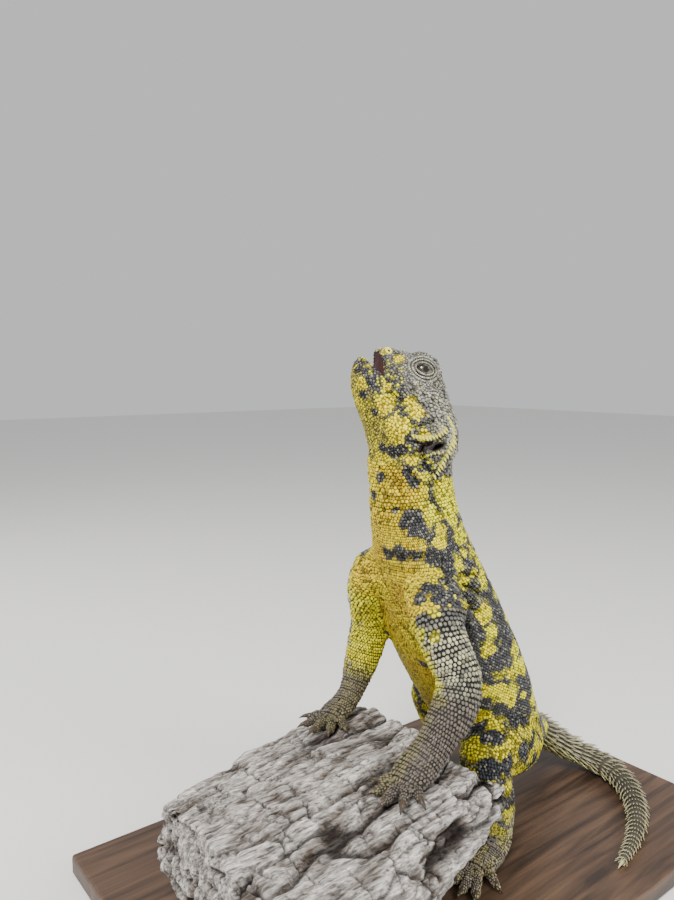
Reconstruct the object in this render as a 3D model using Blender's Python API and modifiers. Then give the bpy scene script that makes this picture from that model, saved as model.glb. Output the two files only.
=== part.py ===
"""A uromastyx rearing up with its forefeet on a piece of cork bark, as a still, life-size model.

The animal faces -Y, its left side is +X. The working frame has Z = 0 on the top of the stand's base;
at the end everything hangs under one empty that puts the middle of the base's underside at the origin.
"""

import math
import random

import bmesh
import bpy
import numpy as np
from mathutils import Matrix, Vector, noise
from mathutils.bvhtree import BVHTree

MM = 0.001
GAP = 0.3 * MM

UP = Vector((0.0, 0.0, 1.0))
LEFT = Vector((1.0, 0.0, 0.0))
COLLECTION = "uromastyx"

# How finely the body is smoothed, and how many triangles it keeps before it is parted
BODY_VOXEL = 1.2 * MM
BODY_TRIANGLES = 3700
BODY_SMOOTHING = 8
CUTTER_TRIANGLES = 260

# The head: the middle point between the ears, and how it is turned.
# Places on the head are in millimetres: x to the left, y backwards, z to the crown.
HEAD_PLACE = Vector((1.0, -50.0, 161.3)) * MM
HEAD_YAW = math.radians(-25.0)
HEAD_PITCH = math.radians(66.0)
EYE_PLACE = (7.9, -24.8, 9.7)
EYE_RADIUS = 3.8
INNER_LID = ((7.9, -24.8, 9.7), (3.1, 5.4, 4.6))
OUTER_LID = ((7.3, -25.1, 9.9), (3.1, 7.0, 5.8))
NOSTRIL_RIM = ((3.9, -35.6, 1.8), (1.7, 1.8, 1.8))
NOSTRIL_PIT = ((5.4, -36.2, 2.1), (1.3, 0.85, 0.85))
EAR_SLOTS = [((17.0, -0.9, -2.8), (4.5, 1.3, 3.2)), ((17.0, 0.9, 2.0), (4.5, 1.3, 3.0))]
CHEEK = ((9.5, -9.0, -5.0), (8.0, 11.0, 9.0))
BROW = ((7.6, -23.5, 11.0), (4.4, 8.0, 6.2))
TEMPLE = ((11.5, 0.5, 2.0), (6.5, 7.0, 9.0))
TONGUE = ((0.0, -28.5, -7.2), (4.4, 7.2, 2.6))
SNOUT_TIP = (0.0, -39.0, -3.5)
# The mouth in side view: distance forward and height. It is shut behind and gapes in front.
UPPER_LIP = [(19.4, -2.55), (28.2, -4.45), (31.2, -1.9), (35.0, -0.7), (42.0, -0.3)]
LOWER_LIP = [(19.4, -2.85), (28.0, -4.90), (33.0, -6.1), (42.0, -7.6)]
JAW_REGION = [(19.4, -2.7), (28.2, -4.7), (50.0, -4.7), (50.0, -36.0), (4.5, -36.0)]
# Where the head is cut from the neck, and the neck from the trunk
HEAD_CUT_BACK = 4.5
NECK_CUT = Vector((0.0, -46.5, 127.0)) * MM
NECK_CUT_LEAN = (0.0, -0.22, 1.0)
# Rows of pointed scales: distance back and height on the side of the head
EAR_FRINGE = [(-3.0, -5.2), (-3.0, -3.5), (-2.7, -1.8), (-1.9, 0.0), (-1.3, 1.7), (-0.9, 3.4)]
NAPE_ROW = [(-2.0, 11.5), (0.4, 11.2), (2.8, 10.8)]
NECK_ROW = [(6.0, 9.4), (8.0, 7.4), (9.8, 5.2), (11.2, 2.8), (12.2, 0.2)]
FRINGE_LENGTH, FRINGE_RADIUS = 1.9 * MM, 0.7 * MM
ROW_LENGTH, ROW_RADIUS = 2.1 * MM, 0.8 * MM

# The stand
BASE_SIZE = Vector((150.0, 236.0, 8.0)) * MM
BASE_MIDDLE = Vector((0.0, -43.0, 0.0)) * MM
BASE_CORNER = 1.2 * MM
ROD_RADIUS = 4.0 * MM
ROD_DEPTH = 4.0 * MM
ROD_PLACES = (Vector((2.0, -74.0, 0.0)) * MM, Vector((14.0, -122.0, 0.0)) * MM)

# Trunk and neck, from the tail's root to the skull: y, z, half width, depth to back and belly
TRUNK = [
    (25.5, 25.5, 8.8, 7.6, 7.2),
    (15.0, 26.5, 14.5, 11.5, 10.0),
    (2.0, 32.0, 21.0, 15.0, 14.8),
    (-10.5, 49.0, 27.0, 16.5, 17.5),
    (-21.0, 67.0, 29.5, 17.5, 18.5),
    (-31.0, 84.5, 29.0, 18.0, 18.5),
    (-39.0, 101.0, 26.0, 18.0, 18.0),
    (-44.5, 116.0, 21.5, 16.5, 17.5),
    (-48.0, 130.0, 17.3, 14.5, 17.3),
    (-50.0, 143.0, 15.0, 12.8, 17.0),
    (-50.5, 154.0, 14.8, 12.5, 17.8),
    (-50.0, 161.0, 14.3, 12.5, 17.0),
]

# Head, from the nape to the snout's tip: distance forward, half width, height to the crown, depth to the throat
HEAD = [
    (-9.0, 14.0, 12.0, 18.0),
    (-3.0, 16.0, 15.0, 18.5),
    (4.0, 16.8, 16.2, 17.0),
    (10.0, 16.0, 16.6, 16.0),
    (16.0, 14.3, 17.8, 15.6),
    (22.0, 12.6, 17.6, 15.4),
    (27.0, 10.8, 15.2, 14.8),
    (31.0, 9.0, 11.2, 13.8),
    (34.5, 7.2, 7.2, 12.0),
    (37.0, 5.0, 3.6, 10.2),
]

# Limbs, from root to palm or sole: x, y, z, half width across, half width in the other direction
ARM_LEFT = [
    (13.0, -50.0, 107.0, 10.5, 10.5),
    (19.5, -58.0, 104.0, 10.2, 10.2),
    (27.5, -61.5, 93.5, 8.0, 8.2),
    (34.0, -60.0, 81.5, 7.6, 7.8),
    (36.0, -64.0, 73.5, 7.6, 7.4),
    (36.0, -69.5, 67.0, 6.6, 6.0),
    (35.5, -75.0, 61.0, 5.8, 4.6),
    (35.5, -82.5, 56.0, 7.0, 3.2),
    (36.5, -87.5, 54.4, 6.4, 2.6),
]
ARM_RIGHT = [
    (-12.0, -47.0, 110.0, 10.5, 10.5),
    (-17.5, -54.0, 107.0, 10.2, 10.2),
    (-22.5, -53.5, 96.5, 7.8, 8.2),
    (-26.0, -49.0, 84.5, 7.4, 7.8),
    (-27.5, -50.5, 74.0, 6.6, 7.6),
    (-27.5, -54.5, 63.5, 5.6, 6.2),
    (-26.5, -59.5, 55.0, 5.4, 4.4),
    (-25.0, -67.0, 51.0, 6.8, 3.2),
    (-23.5, -72.0, 50.2, 6.4, 2.6),
]
LEG_LEFT = [
    (8.0, 3.0, 33.0, 12.5, 12.5),
    (15.0, -8.0, 35.5, 13.0, 13.0),
    (20.5, -20.5, 39.5, 12.5, 12.2),
    (24.0, -31.5, 42.0, 10.8, 10.4),
    (25.5, -35.5, 36.0, 9.2, 8.8),
    (26.5, -32.5, 26.0, 8.6, 8.4),
    (26.5, -29.5, 14.0, 6.8, 6.6),
    (27.0, -31.0, 6.0, 6.4, 5.0),
    (28.5, -39.0, 3.4, 7.4, 3.4),
    (30.0, -44.0, 2.9, 6.8, 2.7),
]
LEG_RIGHT = [
    (-8.0, 4.0, 33.0, 12.5, 12.5),
    (-17.0, 3.0, 35.0, 13.0, 13.0),
    (-27.0, 2.0, 37.5, 12.5, 12.2),
    (-36.0, 1.5, 39.5, 10.8, 10.4),
    (-40.0, 0.5, 34.0, 9.2, 8.8),
    (-38.5, 3.5, 25.0, 8.6, 8.4),
    (-37.0, 7.0, 14.0, 6.8, 6.6),
    (-37.5, 5.5, 6.0, 6.4, 5.0),
    (-41.0, -2.0, 3.4, 7.4, 3.4),
    (-43.0, -6.5, 2.9, 6.8, 2.7),
]

# Joints of the limbs: the row where the cut goes, and how far it leans
ARM_JOINTS = [(3, (0.0, 0.0, 0.0)), (6, (0.0, 0.0, 0.0))]
LEG_LEFT_JOINTS = [(4, (0.0, -0.9, 0.0)), (6, (0.0, 0.0, 0.0))]
LEG_RIGHT_JOINTS = [(4, (-0.9, 0.0, 0.0)), (6, (0.0, 0.0, 0.0))]

# Tail, from its root to its tip: x, y, z, half width, half height
TAIL = [
    (0.0, 26.0, 25.0, 8.6, 7.4),
    (-1.5, 36.5, 18.5, 7.6, 6.6),
    (3.0, 48.5, 9.4, 6.6, 5.6),
    (14.0, 55.0, 5.4, 5.8, 4.8),
    (27.0, 53.5, 4.7, 5.0, 4.2),
    (38.0, 47.0, 4.1, 4.3, 3.6),
    (47.0, 37.5, 3.6, 3.6, 3.1),
    (54.0, 26.0, 3.0, 2.9, 2.5),
    (59.0, 13.5, 2.3, 2.1, 1.8),
    (61.5, 3.0, 1.7, 1.2, 1.1),
]
WHORLS = 19
WHORLS_IN_LENGTH = (6, 6, 7)
WHORL_SHORTENING = 0.45
WHORL_SIDES = 10
THIN_TAIL_WHORL = 13
SPINES_ROUND = (7, 5)
SPINE_FROM, SPINE_SWEEP = -22.0, 224.0
SPINE_LENGTH = (3.7 * MM, 4.4 * MM)
SPINE_RADIUS = 1.2 * MM

# Digits: turn from the hand's own direction in degrees, length without claw
HAND_DIGITS = [(-58.0, 6.5), (-27.0, 9.0), (0.0, 10.5), (26.0, 9.5), (56.0, 7.0)]
FOOT_DIGITS = [(-36.0, 7.0), (-16.0, 10.5), (2.0, 13.0), (20.0, 13.0), (58.0, 7.5)]
DIGIT_RADIUS = 1.75
DIGIT_COURSE = [(-0.3, 0.6, 1.1), (0.15, 1.6, 1.0), (0.6, 1.8, 0.9), (1.0, 0.7, 0.78)]
PALM_THICKNESS = 2.6 * MM
CLAW_LENGTH = 4.0 * MM
CLAW_RADIUS = 0.85 * MM

# Cork bark: the middle of its two ends, half width, and the levels of its underside and crest
BARK_ENDS = (Vector((1.0, -54.5, 0.0)) * MM, Vector((22.0, -152.0, 0.0)) * MM)
BARK_ACROSS = Vector((0.992, -0.125, 0.0))
BARK_HALF_WIDTH = 53.0 * MM
BARK_UNDERSIDE = 15.0 * MM
BARK_CREST = 50.0 * MM
BARK_LIFT_LEFT = 0.06
BARK_LOBE = 15.0 * MM
BARK_STEPS, BARK_SIDES = 12, 26
BARK_GROOVES = 9
BARK_SQUARENESS = 2.5
BARK_CLEARANCE = 0.4 * MM

COLOURS = {
    "skin": (0.50, 0.44, 0.08, 1.0),
    "tail": (0.27, 0.26, 0.18, 1.0),
    "eye": (0.05, 0.03, 0.02, 1.0),
    "tongue": (0.55, 0.20, 0.20, 1.0),
    "cork": (0.42, 0.39, 0.35, 1.0),
    "base": (0.12, 0.07, 0.045, 1.0),
    "rod": (0.45, 0.44, 0.42, 1.0),
}
ROUGHNESS = {"skin": 0.6, "tail": 0.65, "eye": 0.08, "tongue": 0.35, "cork": 0.9, "base": 0.45, "rod": 0.35}
METALS = ("rod",)
SHARP_FROM = math.radians(45.0)


def clear_scene():
    for obj in list(bpy.data.objects):
        bpy.data.objects.remove(obj, do_unlink=True)


def make_material(name, colour, roughness, metallic=0.0):
    material = bpy.data.materials.new(name)
    material.use_nodes = True
    shader = material.node_tree.nodes["Principled BSDF"]
    shader.inputs["Base Color"].default_value = colour
    shader.inputs["Roughness"].default_value = roughness
    shader.inputs["Metallic"].default_value = metallic
    return material


def new_object(name, mesh):
    obj = bpy.data.objects.new(name, mesh)
    bpy.data.collections[COLLECTION].objects.link(obj)
    return obj


def object_from(name, bm):
    """An object from a bmesh, which is freed."""
    mesh = bpy.data.meshes.new(name)
    bm.to_mesh(mesh)
    bm.free()
    return new_object(name, mesh)


def evaluated_mesh(obj):
    """The object's mesh with its modifiers applied."""
    bpy.context.view_layer.update()
    graph = bpy.context.evaluated_depsgraph_get()
    return bpy.data.meshes.new_from_object(obj.evaluated_get(graph), depsgraph=graph)


def apply_modifiers(obj):
    mesh = evaluated_mesh(obj)
    obj.modifiers.clear()
    old = obj.data
    obj.data = mesh
    bpy.data.meshes.remove(old)


def keep_largest(obj):
    """Drops all but the largest closed surface of a mesh."""
    bm = bmesh.new()
    bm.from_mesh(obj.data)
    left = set(bm.faces)
    pieces = []
    while left:
        start = left.pop()
        piece = [start]
        stack = [start]
        while stack:
            face = stack.pop()
            for edge in face.edges:
                for other in edge.link_faces:
                    if other in left:
                        left.remove(other)
                        piece.append(other)
                        stack.append(other)
        pieces.append(piece)
    pieces.sort(key=lambda piece: sum(face.calc_area() for face in piece), reverse=True)
    loose = [face for piece in pieces[1:] for face in piece]
    bmesh.ops.delete(bm, geom=loose, context="FACES")
    bm.to_mesh(obj.data)
    bm.free()


def boolean(target, tools, operation):
    """Applies one Boolean of the target with a list of closed meshes, which are then removed."""
    group = bpy.data.collections.new("tools")
    bpy.context.scene.collection.children.link(group)
    for tool in tools:
        for holder in list(tool.users_collection):
            holder.objects.unlink(tool)
        group.objects.link(tool)
    modifier = target.modifiers.new("boolean", "BOOLEAN")
    modifier.operation = operation
    modifier.solver = "MANIFOLD"
    if len(tools) == 1:
        modifier.object = tools[0]
    else:
        modifier.operand_type = "COLLECTION"
        modifier.collection = group
    apply_modifiers(target)
    for tool in tools:
        bpy.data.objects.remove(tool, do_unlink=True)
    bpy.data.collections.remove(group)
    keep_largest(target)
    return target


def copy_of(obj, name="copy"):
    return new_object(name, obj.data.copy())


def join(name, pieces):
    """One closed mesh from overlapping closed meshes."""
    first = pieces[0]
    first.name = name
    return boolean(first, pieces[1:], "UNION") if len(pieces) > 1 else first


def half_space(point, normal, reach=0.6):
    """A block whose near face lies on the plane through a point, on the side that the normal points to."""
    bm = bmesh.new()
    bmesh.ops.create_cube(bm, size=reach)
    turn = Vector(normal).to_track_quat("Z", "Y").to_matrix().to_4x4()
    middle = Vector(point) + Vector(normal).normalized() * reach / 2
    bmesh.ops.transform(bm, matrix=Matrix.Translation(middle) @ turn, verts=bm.verts)
    return object_from("block", bm)


def part_at(obj, point, normal, name):
    """Parts an object with a thin planar cut. What lies past the plane becomes a new object."""
    normal = Vector(normal).normalized()
    far = copy_of(obj, name)
    boolean(far, [half_space(Vector(point) + normal * GAP / 2, normal)], "INTERSECT")
    boolean(obj, [half_space(Vector(point) - normal * GAP / 2, -normal)], "INTERSECT")
    return far


def resample(rows, per_span):
    """Rows of numbers carried through by a Catmull-Rom curve, with the same count of steps in each span."""
    rows = np.asarray(rows, float)
    padded = np.vstack([2 * rows[0] - rows[1], rows, 2 * rows[-1] - rows[-2]])
    out = []
    for i in range(1, len(padded) - 2):
        before, here, there, after = padded[i - 1:i + 3]
        for k in range(per_span):
            t = k / per_span
            curve = 2 * here + (there - before) * t
            curve = curve + (2 * before - 5 * here + 4 * there - after) * t ** 2
            curve = curve + (3 * here - before - 3 * there + after) * t ** 3
            out.append(curve / 2)
    out.append(rows[-1])
    return np.array(out)


def loft(name, rings, tips=(None, None)):
    """A closed mesh through rings of equal point counts. Each end has a fan to its tip, or a flat face."""
    sides = len(rings[0])
    points = [tuple(point) for ring in rings for point in ring]
    faces = []
    for i in range(len(rings) - 1):
        for j in range(sides):
            k = (j + 1) % sides
            faces.append((i * sides + j, i * sides + k, (i + 1) * sides + k, (i + 1) * sides + j))
    last = (len(rings) - 1) * sides
    for tip, offset, order in ((tips[0], 0, -1), (tips[1], last, 1)):
        ends = [offset + j for j in range(sides)][::order]
        if tip is None:
            faces.append(tuple(ends))
            continue
        points.append(tuple(tip))
        for j in range(sides):
            faces.append((ends[j], ends[(j + 1) % sides], len(points) - 1))
    bm = bmesh.new()
    corners = [bm.verts.new(point) for point in points]
    for face in faces:
        bm.faces.new([corners[index] for index in face])
    bmesh.ops.recalc_face_normals(bm, faces=bm.faces)
    return object_from(name, bm)


def square_off(value, squareness):
    """A cosine or sine pushed outwards, so that a circle becomes a rounded square."""
    return math.copysign(abs(value) ** (2 / squareness), value)


def oval_ring(middle, side, up, half_width, above, below, sides, squareness=2.0):
    """A closed ring of points, with its own depth above and below its middle."""
    ring = []
    for j in range(sides):
        turn = 2 * math.pi * j / sides
        across = square_off(math.cos(turn), squareness) * half_width
        rise = square_off(math.sin(turn), squareness)
        ring.append(middle + side * across + up * rise * (above if rise > 0 else below))
    return ring


def tube(name, rows, side, sides, per_span, grow=0.0, squareness=2.0, caps=(0.5, 1.0), open_start=False):
    """A rounded tube through rows of x, y, z, half width, depth above and below, in millimetres."""
    rows = resample(rows, per_span)
    middles = [Vector(row[:3]) * MM for row in rows]
    rings = []
    frames = []
    for i, row in enumerate(rows):
        along = (middles[min(i + 1, len(rows) - 1)] - middles[max(i - 1, 0)]).normalized()
        across = (side - along * side.dot(along)).normalized()
        up = along.cross(across)
        sizes = [value * MM + grow for value in row[3:]]
        above, below = sizes[1], sizes[-1]
        frames.append((along, across, up, sizes[0], above, below))
        rings.append(oval_ring(middles[i], across, up, sizes[0], above, below, sides, squareness))
    tips = [None, None]
    for end, sign in ((0, -1), (len(rows) - 1, 1)):
        if open_start and sign < 0:
            continue
        along, across, up, width, above, below = frames[end]
        reach = 0.8 * min(width, above, below)
        closing = []
        for turn in caps:
            middle = middles[end] + along * sign * reach * math.sin(turn)
            less = math.cos(turn)
            sizes = (width * less, above * less, below * less)
            closing.append(oval_ring(middle, across, up, *sizes, sides, squareness))
        rings = closing[::-1] + rings if sign < 0 else rings + closing
        tips[0 if sign < 0 else 1] = middles[end] + along * sign * reach
    return loft(name, rings, tips)


def head_matrix():
    turn = Matrix.Rotation(HEAD_YAW, 4, "Z") @ Matrix.Rotation(-HEAD_PITCH, 4, "X")
    return Matrix.Translation(HEAD_PLACE) @ turn


def head_direction(x, y, z):
    return (head_matrix().to_3x3() @ Vector((x, y, z))).normalized()


def head_ball(form, side=1, name="ball", segments=12, rings=8):
    """An ellipsoid from its place and radii on the head, in millimetres. Side -1 puts it on the right."""
    place, radii = form
    bm = bmesh.new()
    bmesh.ops.create_uvsphere(bm, u_segments=segments, v_segments=rings, radius=MM)
    where = Matrix.Translation(Vector((place[0] * side, place[1], place[2])) * MM)
    matrix = head_matrix() @ where @ Matrix.Diagonal((*radii, 1.0))
    bmesh.ops.transform(bm, matrix=matrix, verts=bm.verts)
    return object_from(name, bm)


def spine(root, direction, lean, length, radius, sides=3):
    """A tapered, bent cone: it starts along one direction and ends leaning towards another."""
    direction = Vector(direction).normalized()
    lean = Vector(lean).normalized()
    side = direction.orthogonal().normalized()
    rings = []
    for share, width in ((-0.35, 1.0), (0.45, 0.66)):
        middle = root + direction * length * share + lean * length * 0.12 * max(share, 0.0)
        along = (direction + lean * max(share, 0.0)).normalized()
        across = (side - along * side.dot(along)).normalized()
        size = radius * width
        rings.append(oval_ring(middle, across, along.cross(across), size, size, size, sides))
    tip = root + direction * length * 0.86 + lean * length * 0.42
    return loft("spine", rings, (None, tip))


def digit(start, heading, length, level):
    """A toe that arches out from the hand and comes down on its claw."""
    rows = []
    for share, rise, width in DIGIT_COURSE:
        middle = start + heading * length * share
        middle.z = level + (rise + 0.4 * width) * MM
        radius = DIGIT_RADIUS * width
        rows.append((*(middle / MM), radius, radius * 0.95, radius * 0.8))
    toe = tube("toe", rows, heading.cross(UP), 5, 1, caps=(0.7,), open_start=True)
    root = start + heading * length * 1.02
    root.z = level + 1.3 * MM
    claw = spine(root, heading + UP * 0.12, heading * 0.5 - UP * 1.1, CLAW_LENGTH, CLAW_RADIUS, 4)
    return [toe, claw]


def fan(limb, rows, digits, inward, level):
    """Fuses the digits to a hand or foot, spread about the direction of its last two rows."""
    palm = Vector(rows[-1][:3]) * MM
    behind = Vector(rows[-2][:3]) * MM
    heading = palm - behind
    heading.z = 0.0
    pieces = [limb]
    for turn, length in digits:
        way = Matrix.Rotation(math.radians(turn * inward), 3, "Z") @ heading.normalized()
        start = behind.lerp(palm, 0.6) + way * 3.0 * MM
        pieces += digit(start, way, length * MM, level)
    return join(limb.name, pieces)


def make_whole_body():
    """Trunk, neck, head, cheeks and limbs as one smooth closed mesh, before it is parted."""
    rows = [(0.0, *row) for row in TRUNK]
    pieces = [tube("trunk", rows, LEFT, 24, 3, squareness=2.2)]
    head = head_matrix()
    rings = []
    for distance, *sizes in resample(HEAD, 3):
        middle = head @ (Vector((0.0, -distance, 0.0)) * MM)
        sizes = [size * MM for size in sizes]
        rings.append(oval_ring(middle, head_direction(*LEFT), head_direction(*UP), *sizes, 24, 2.35))
    pieces.append(loft("skull", rings, (None, head @ (Vector(SNOUT_TIP) * MM))))
    for side in (-1, 1):
        pieces += [head_ball(form, side) for form in (CHEEK, BROW, TEMPLE)]
    for rows in (ARM_LEFT, ARM_RIGHT, LEG_LEFT, LEG_RIGHT):
        pieces.append(tube("limb", rows, limb_side(rows), 14, 2))
    body = join("torso", pieces)
    remesh = body.modifiers.new("remesh", "REMESH")
    remesh.mode = "VOXEL"
    remesh.voxel_size = BODY_VOXEL
    smooth = body.modifiers.new("smooth", "SMOOTH")
    smooth.factor = 0.5
    smooth.iterations = BODY_SMOOTHING
    apply_modifiers(body)
    return body


def limb_side(rows):
    """The across direction of a limb's sections: level, and square to the way from its root to its end."""
    way = Vector(rows[-1][:3]) - Vector(rows[0][:3])
    way.z = 0.0
    return way.normalized().cross(UP)


def head_prism(profile, shift=0.0):
    """A prism right across the head, through a side-view outline, shifted back and up by one distance."""
    head = head_matrix()
    rings = []
    for x in (-22.0, 22.0):
        corners = [Vector((x, -forward, height)) * MM for forward, height in profile]
        rings.append([head @ (corner + Vector((0.0, shift, shift))) for corner in corners])
    return loft("prism", rings)


def thin(obj, triangles):
    """Brings a mesh down to about so many triangles."""
    obj.data.calc_loop_triangles()
    modifier = obj.modifiers.new("decimate", "DECIMATE")
    modifier.ratio = min(1.0, triangles / len(obj.data.loop_triangles))
    modifier.use_collapse_triangulate = True
    apply_modifiers(obj)
    return obj


def spread(obj, distance):
    """Moves a closed surface outwards."""
    modifier = obj.modifiers.new("spread", "DISPLACE")
    modifier.strength = distance
    modifier.mid_level = 0.0
    apply_modifiers(obj)
    return obj


def limb_cutter(rows):
    """A clean closed surface just outside a limb, with no fold where the limb bends."""
    cutter = tube("cut", rows, limb_side(rows), 14, 2, grow=1.0 * MM)
    remesh = cutter.modifiers.new("remesh", "REMESH")
    remesh.mode = "VOXEL"
    remesh.voxel_size = BODY_VOXEL
    apply_modifiers(cutter)
    return thin(cutter, CUTTER_TRIANGLES)


def part_limb(body, rows, names, joints):
    """Cuts a limb from the body along its own outline, then parts it at its two joints."""
    inner = limb_cutter(rows[1:])
    outer = spread(copy_of(inner), GAP * 1.2)
    limb = boolean(copy_of(body, names[0]), [inner], "INTERSECT")
    boolean(body, [outer], "DIFFERENCE")
    pieces = [limb]
    for name, (index, lean) in zip(names[1:], joints):
        point = Vector(rows[index][:3]) * MM
        way = Vector(rows[index + 1][:3]) - Vector(rows[index - 1][:3])
        pieces.append(part_at(pieces[-1], point, way.normalized() + Vector(lean), name))
    for piece, name in zip(pieces, names):
        piece.name = name
    return pieces


def whorl_ends():
    """Shares of the tail's length at which the whorls end. They shorten towards the tip."""
    steps = [1.0 - WHORL_SHORTENING * i / (WHORLS - 1) for i in range(WHORLS)]
    total = sum(steps)
    ends = [0.0]
    for step in steps:
        ends.append(ends[-1] + step / total)
    return ends


def tail_course():
    """The tail's rows close together, and the length along it at each."""
    rows = resample(TAIL, 6)
    steps = np.linalg.norm(np.diff(rows[:, :3], axis=0), axis=1) * MM
    return rows, np.concatenate([[0.0], np.cumsum(steps)])


def tail_frame(share):
    """Middle, across, up, along, half width and half height at a share of the tail's length."""
    rows, lengths = tail_course()
    stations = []
    for at in (share, min(share + 0.02, 1.0), max(share - 0.02, 0.0)):
        wanted = at * lengths[-1]
        stations.append([float(np.interp(wanted, lengths, column)) for column in rows.T])
    here, ahead, behind = stations
    along = (Vector(ahead[:3]) - Vector(behind[:3])).normalized()
    across = along.cross(UP).normalized()
    return Vector(here[:3]) * MM, across, across.cross(along), along, here[3] * MM, here[4] * MM


def tail_ring(share, swell):
    middle, across, rise, _, width, height = tail_frame(share)
    return oval_ring(middle, across, rise, width * swell, height * swell, height * swell, WHORL_SIDES, 2.3)


def tail_length(name, first, count):
    """One length of the tail: a run of whorls, each rising to a rim, with spines along the rim."""
    ends = whorl_ends()
    length = tail_course()[1][-1]
    rings = []
    spines = []
    for i in range(first, first + count):
        span = ends[i + 1] - ends[i]
        for share, swell in ((0.0, 0.90), (0.94, 1.03)):
            rings.append(tail_ring(ends[i] + span * share, swell))
        spines += whorl_spines(i, ends[i] + span * 0.80)
    tip = None
    if first + count < WHORLS:
        rings.append(tail_ring(ends[first + count] - GAP / length, 0.95))
    else:
        middle, _, _, along, _, _ = tail_frame(1.0)
        tip = middle + along * 2.0 * MM
    return join(name, [loft(name, rings, (None, tip))] + spines)


def whorl_spines(index, share):
    """The spines of one whorl. Those under the tail are left out, where the tail lies on the base."""
    middle, across, rise, along, width, height = tail_frame(share)
    shrink = 1.0 - 0.5 * index / WHORLS
    count = SPINES_ROUND[0] if index < THIN_TAIL_WHORL else SPINES_ROUND[1]
    draw = random.Random(400 + index)
    spines = []
    for k in range(count):
        turn = math.radians(SPINE_FROM + SPINE_SWEEP * k / (count - 1))
        sideways, upwards = math.cos(turn), math.sin(turn)
        root = middle + (across * sideways * width + rise * upwards * height) * 0.86
        out = (across * sideways + rise * upwards) * 0.85 + along * 0.8
        length = SPINE_LENGTH[abs(sideways) > 0.6] * shrink * draw.uniform(0.92, 1.08)
        spines.append(spine(root, out, along, length, SPINE_RADIUS * shrink))
    return spines


def make_tail():
    lengths = []
    first = 0
    for name, count in zip(("tail_base", "tail_middle", "tail_tip"), WHORLS_IN_LENGTH):
        lengths.append(tail_length(name, first, count))
        first += count
    for length in lengths:
        boolean(length, [half_space(UP * GAP, UP)], "INTERSECT")
    for near, far in zip(lengths, lengths[1:]):
        clear_of(near, [far], GAP)
    return lengths


def bark_height(share, turn):
    """How far the bark's grooves and knobs move its surface."""
    spot = Vector((math.cos(turn) * 2.2, math.sin(turn) * 2.2, share * 2.4))
    grooves = math.sin(turn * BARK_GROOVES + 3.0 * noise.noise(spot) + share * 2.0)
    knobs = noise.noise(spot * 2.1 + Vector((7.0, 3.0, 1.0)))
    return (0.9 * grooves + 2.6 * knobs) * MM


def make_bark():
    """A short length of bark, lofted between its ends, with a lobe at its rear left corner."""
    start, end = BARK_ENDS
    lengthwise = (start - end).normalized()
    half_height = (BARK_CREST - BARK_UNDERSIDE) / 2
    rings = []
    for i in range(BARK_STEPS + 1):
        share = i / BARK_STEPS
        middle = start.lerp(end, share) + UP * (BARK_UNDERSIDE + half_height)
        narrow = 1.0 - 0.10 * (2 * share - 1) ** 2
        ring = []
        for j in range(BARK_SIDES):
            turn = 2 * math.pi * j / BARK_SIDES
            c, s = math.cos(turn), math.sin(turn)
            across = square_off(c, BARK_SQUARENESS) * BARK_HALF_WIDTH * narrow
            rise = square_off(s, BARK_SQUARENESS) * half_height + across * BARK_LIFT_LEFT
            rough = bark_height(share, turn) * (0.5 if s < -0.3 else 1.0)
            lobe = BARK_LOBE * max(0.0, c - 0.72) / 0.28 * max(0.0, 1.0 - share / 0.3)
            if i in (0, BARK_STEPS):
                lobe += 2.0 * MM * math.sin(turn * 5)
            place = middle + BARK_ACROSS * across + UP * rise + lengthwise * lobe
            ring.append(place + (BARK_ACROSS * c + UP * s) * rough)
        rings.append(ring)
    return loft("perch_log", rings)


def cylinder(name, place, bottom, top, radius):
    """An upright cylinder between two levels."""
    bm = bmesh.new()
    bmesh.ops.create_cone(bm, cap_ends=True, segments=24, radius1=radius, radius2=radius, depth=top - bottom)
    bmesh.ops.translate(bm, vec=place + UP * (bottom + top) / 2, verts=bm.verts)
    return object_from(name, bm)


def make_stand():
    """The base board and the rods that carry the bark."""
    bm = bmesh.new()
    bmesh.ops.create_cube(bm, size=1.0)
    bmesh.ops.scale(bm, vec=BASE_SIZE, verts=bm.verts)
    bmesh.ops.translate(bm, vec=BASE_MIDDLE - UP * BASE_SIZE.z / 2, verts=bm.verts)
    base = object_from("stand_base", bm)
    corners = base.modifiers.new("corners", "BEVEL")
    corners.width = BASE_CORNER
    corners.segments = 2
    corners.limit_method = "ANGLE"
    apply_modifiers(base)
    rods = []
    for i, place in enumerate(ROD_PLACES):
        rods.append(cylinder(f"stand_rod_{i + 1}", place, GAP, BARK_UNDERSIDE + ROD_DEPTH, ROD_RADIUS))
    return base, rods


def rod_sockets():
    """Cutters for the holes in the bark's underside that take the rods."""
    top = BARK_UNDERSIDE + ROD_DEPTH + GAP
    return [cylinder("socket", place, 0.0, top, ROD_RADIUS + GAP) for place in ROD_PLACES]


def clear_of(obj, others, clearance):
    """Cuts an object back so that it keeps a clearance to others."""
    for other in others:
        boolean(obj, [spread(copy_of(other, "wide"), clearance)], "DIFFERENCE")


def part_lower_jaw(head):
    """Parts the lower jaw from the head, along the mouth's line and down behind its corner."""
    jaw = boolean(copy_of(head, "lower_jaw"), [head_prism(JAW_REGION)], "INTERSECT")
    boolean(head, [head_prism(JAW_REGION, GAP)], "DIFFERENCE")
    return jaw


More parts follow.
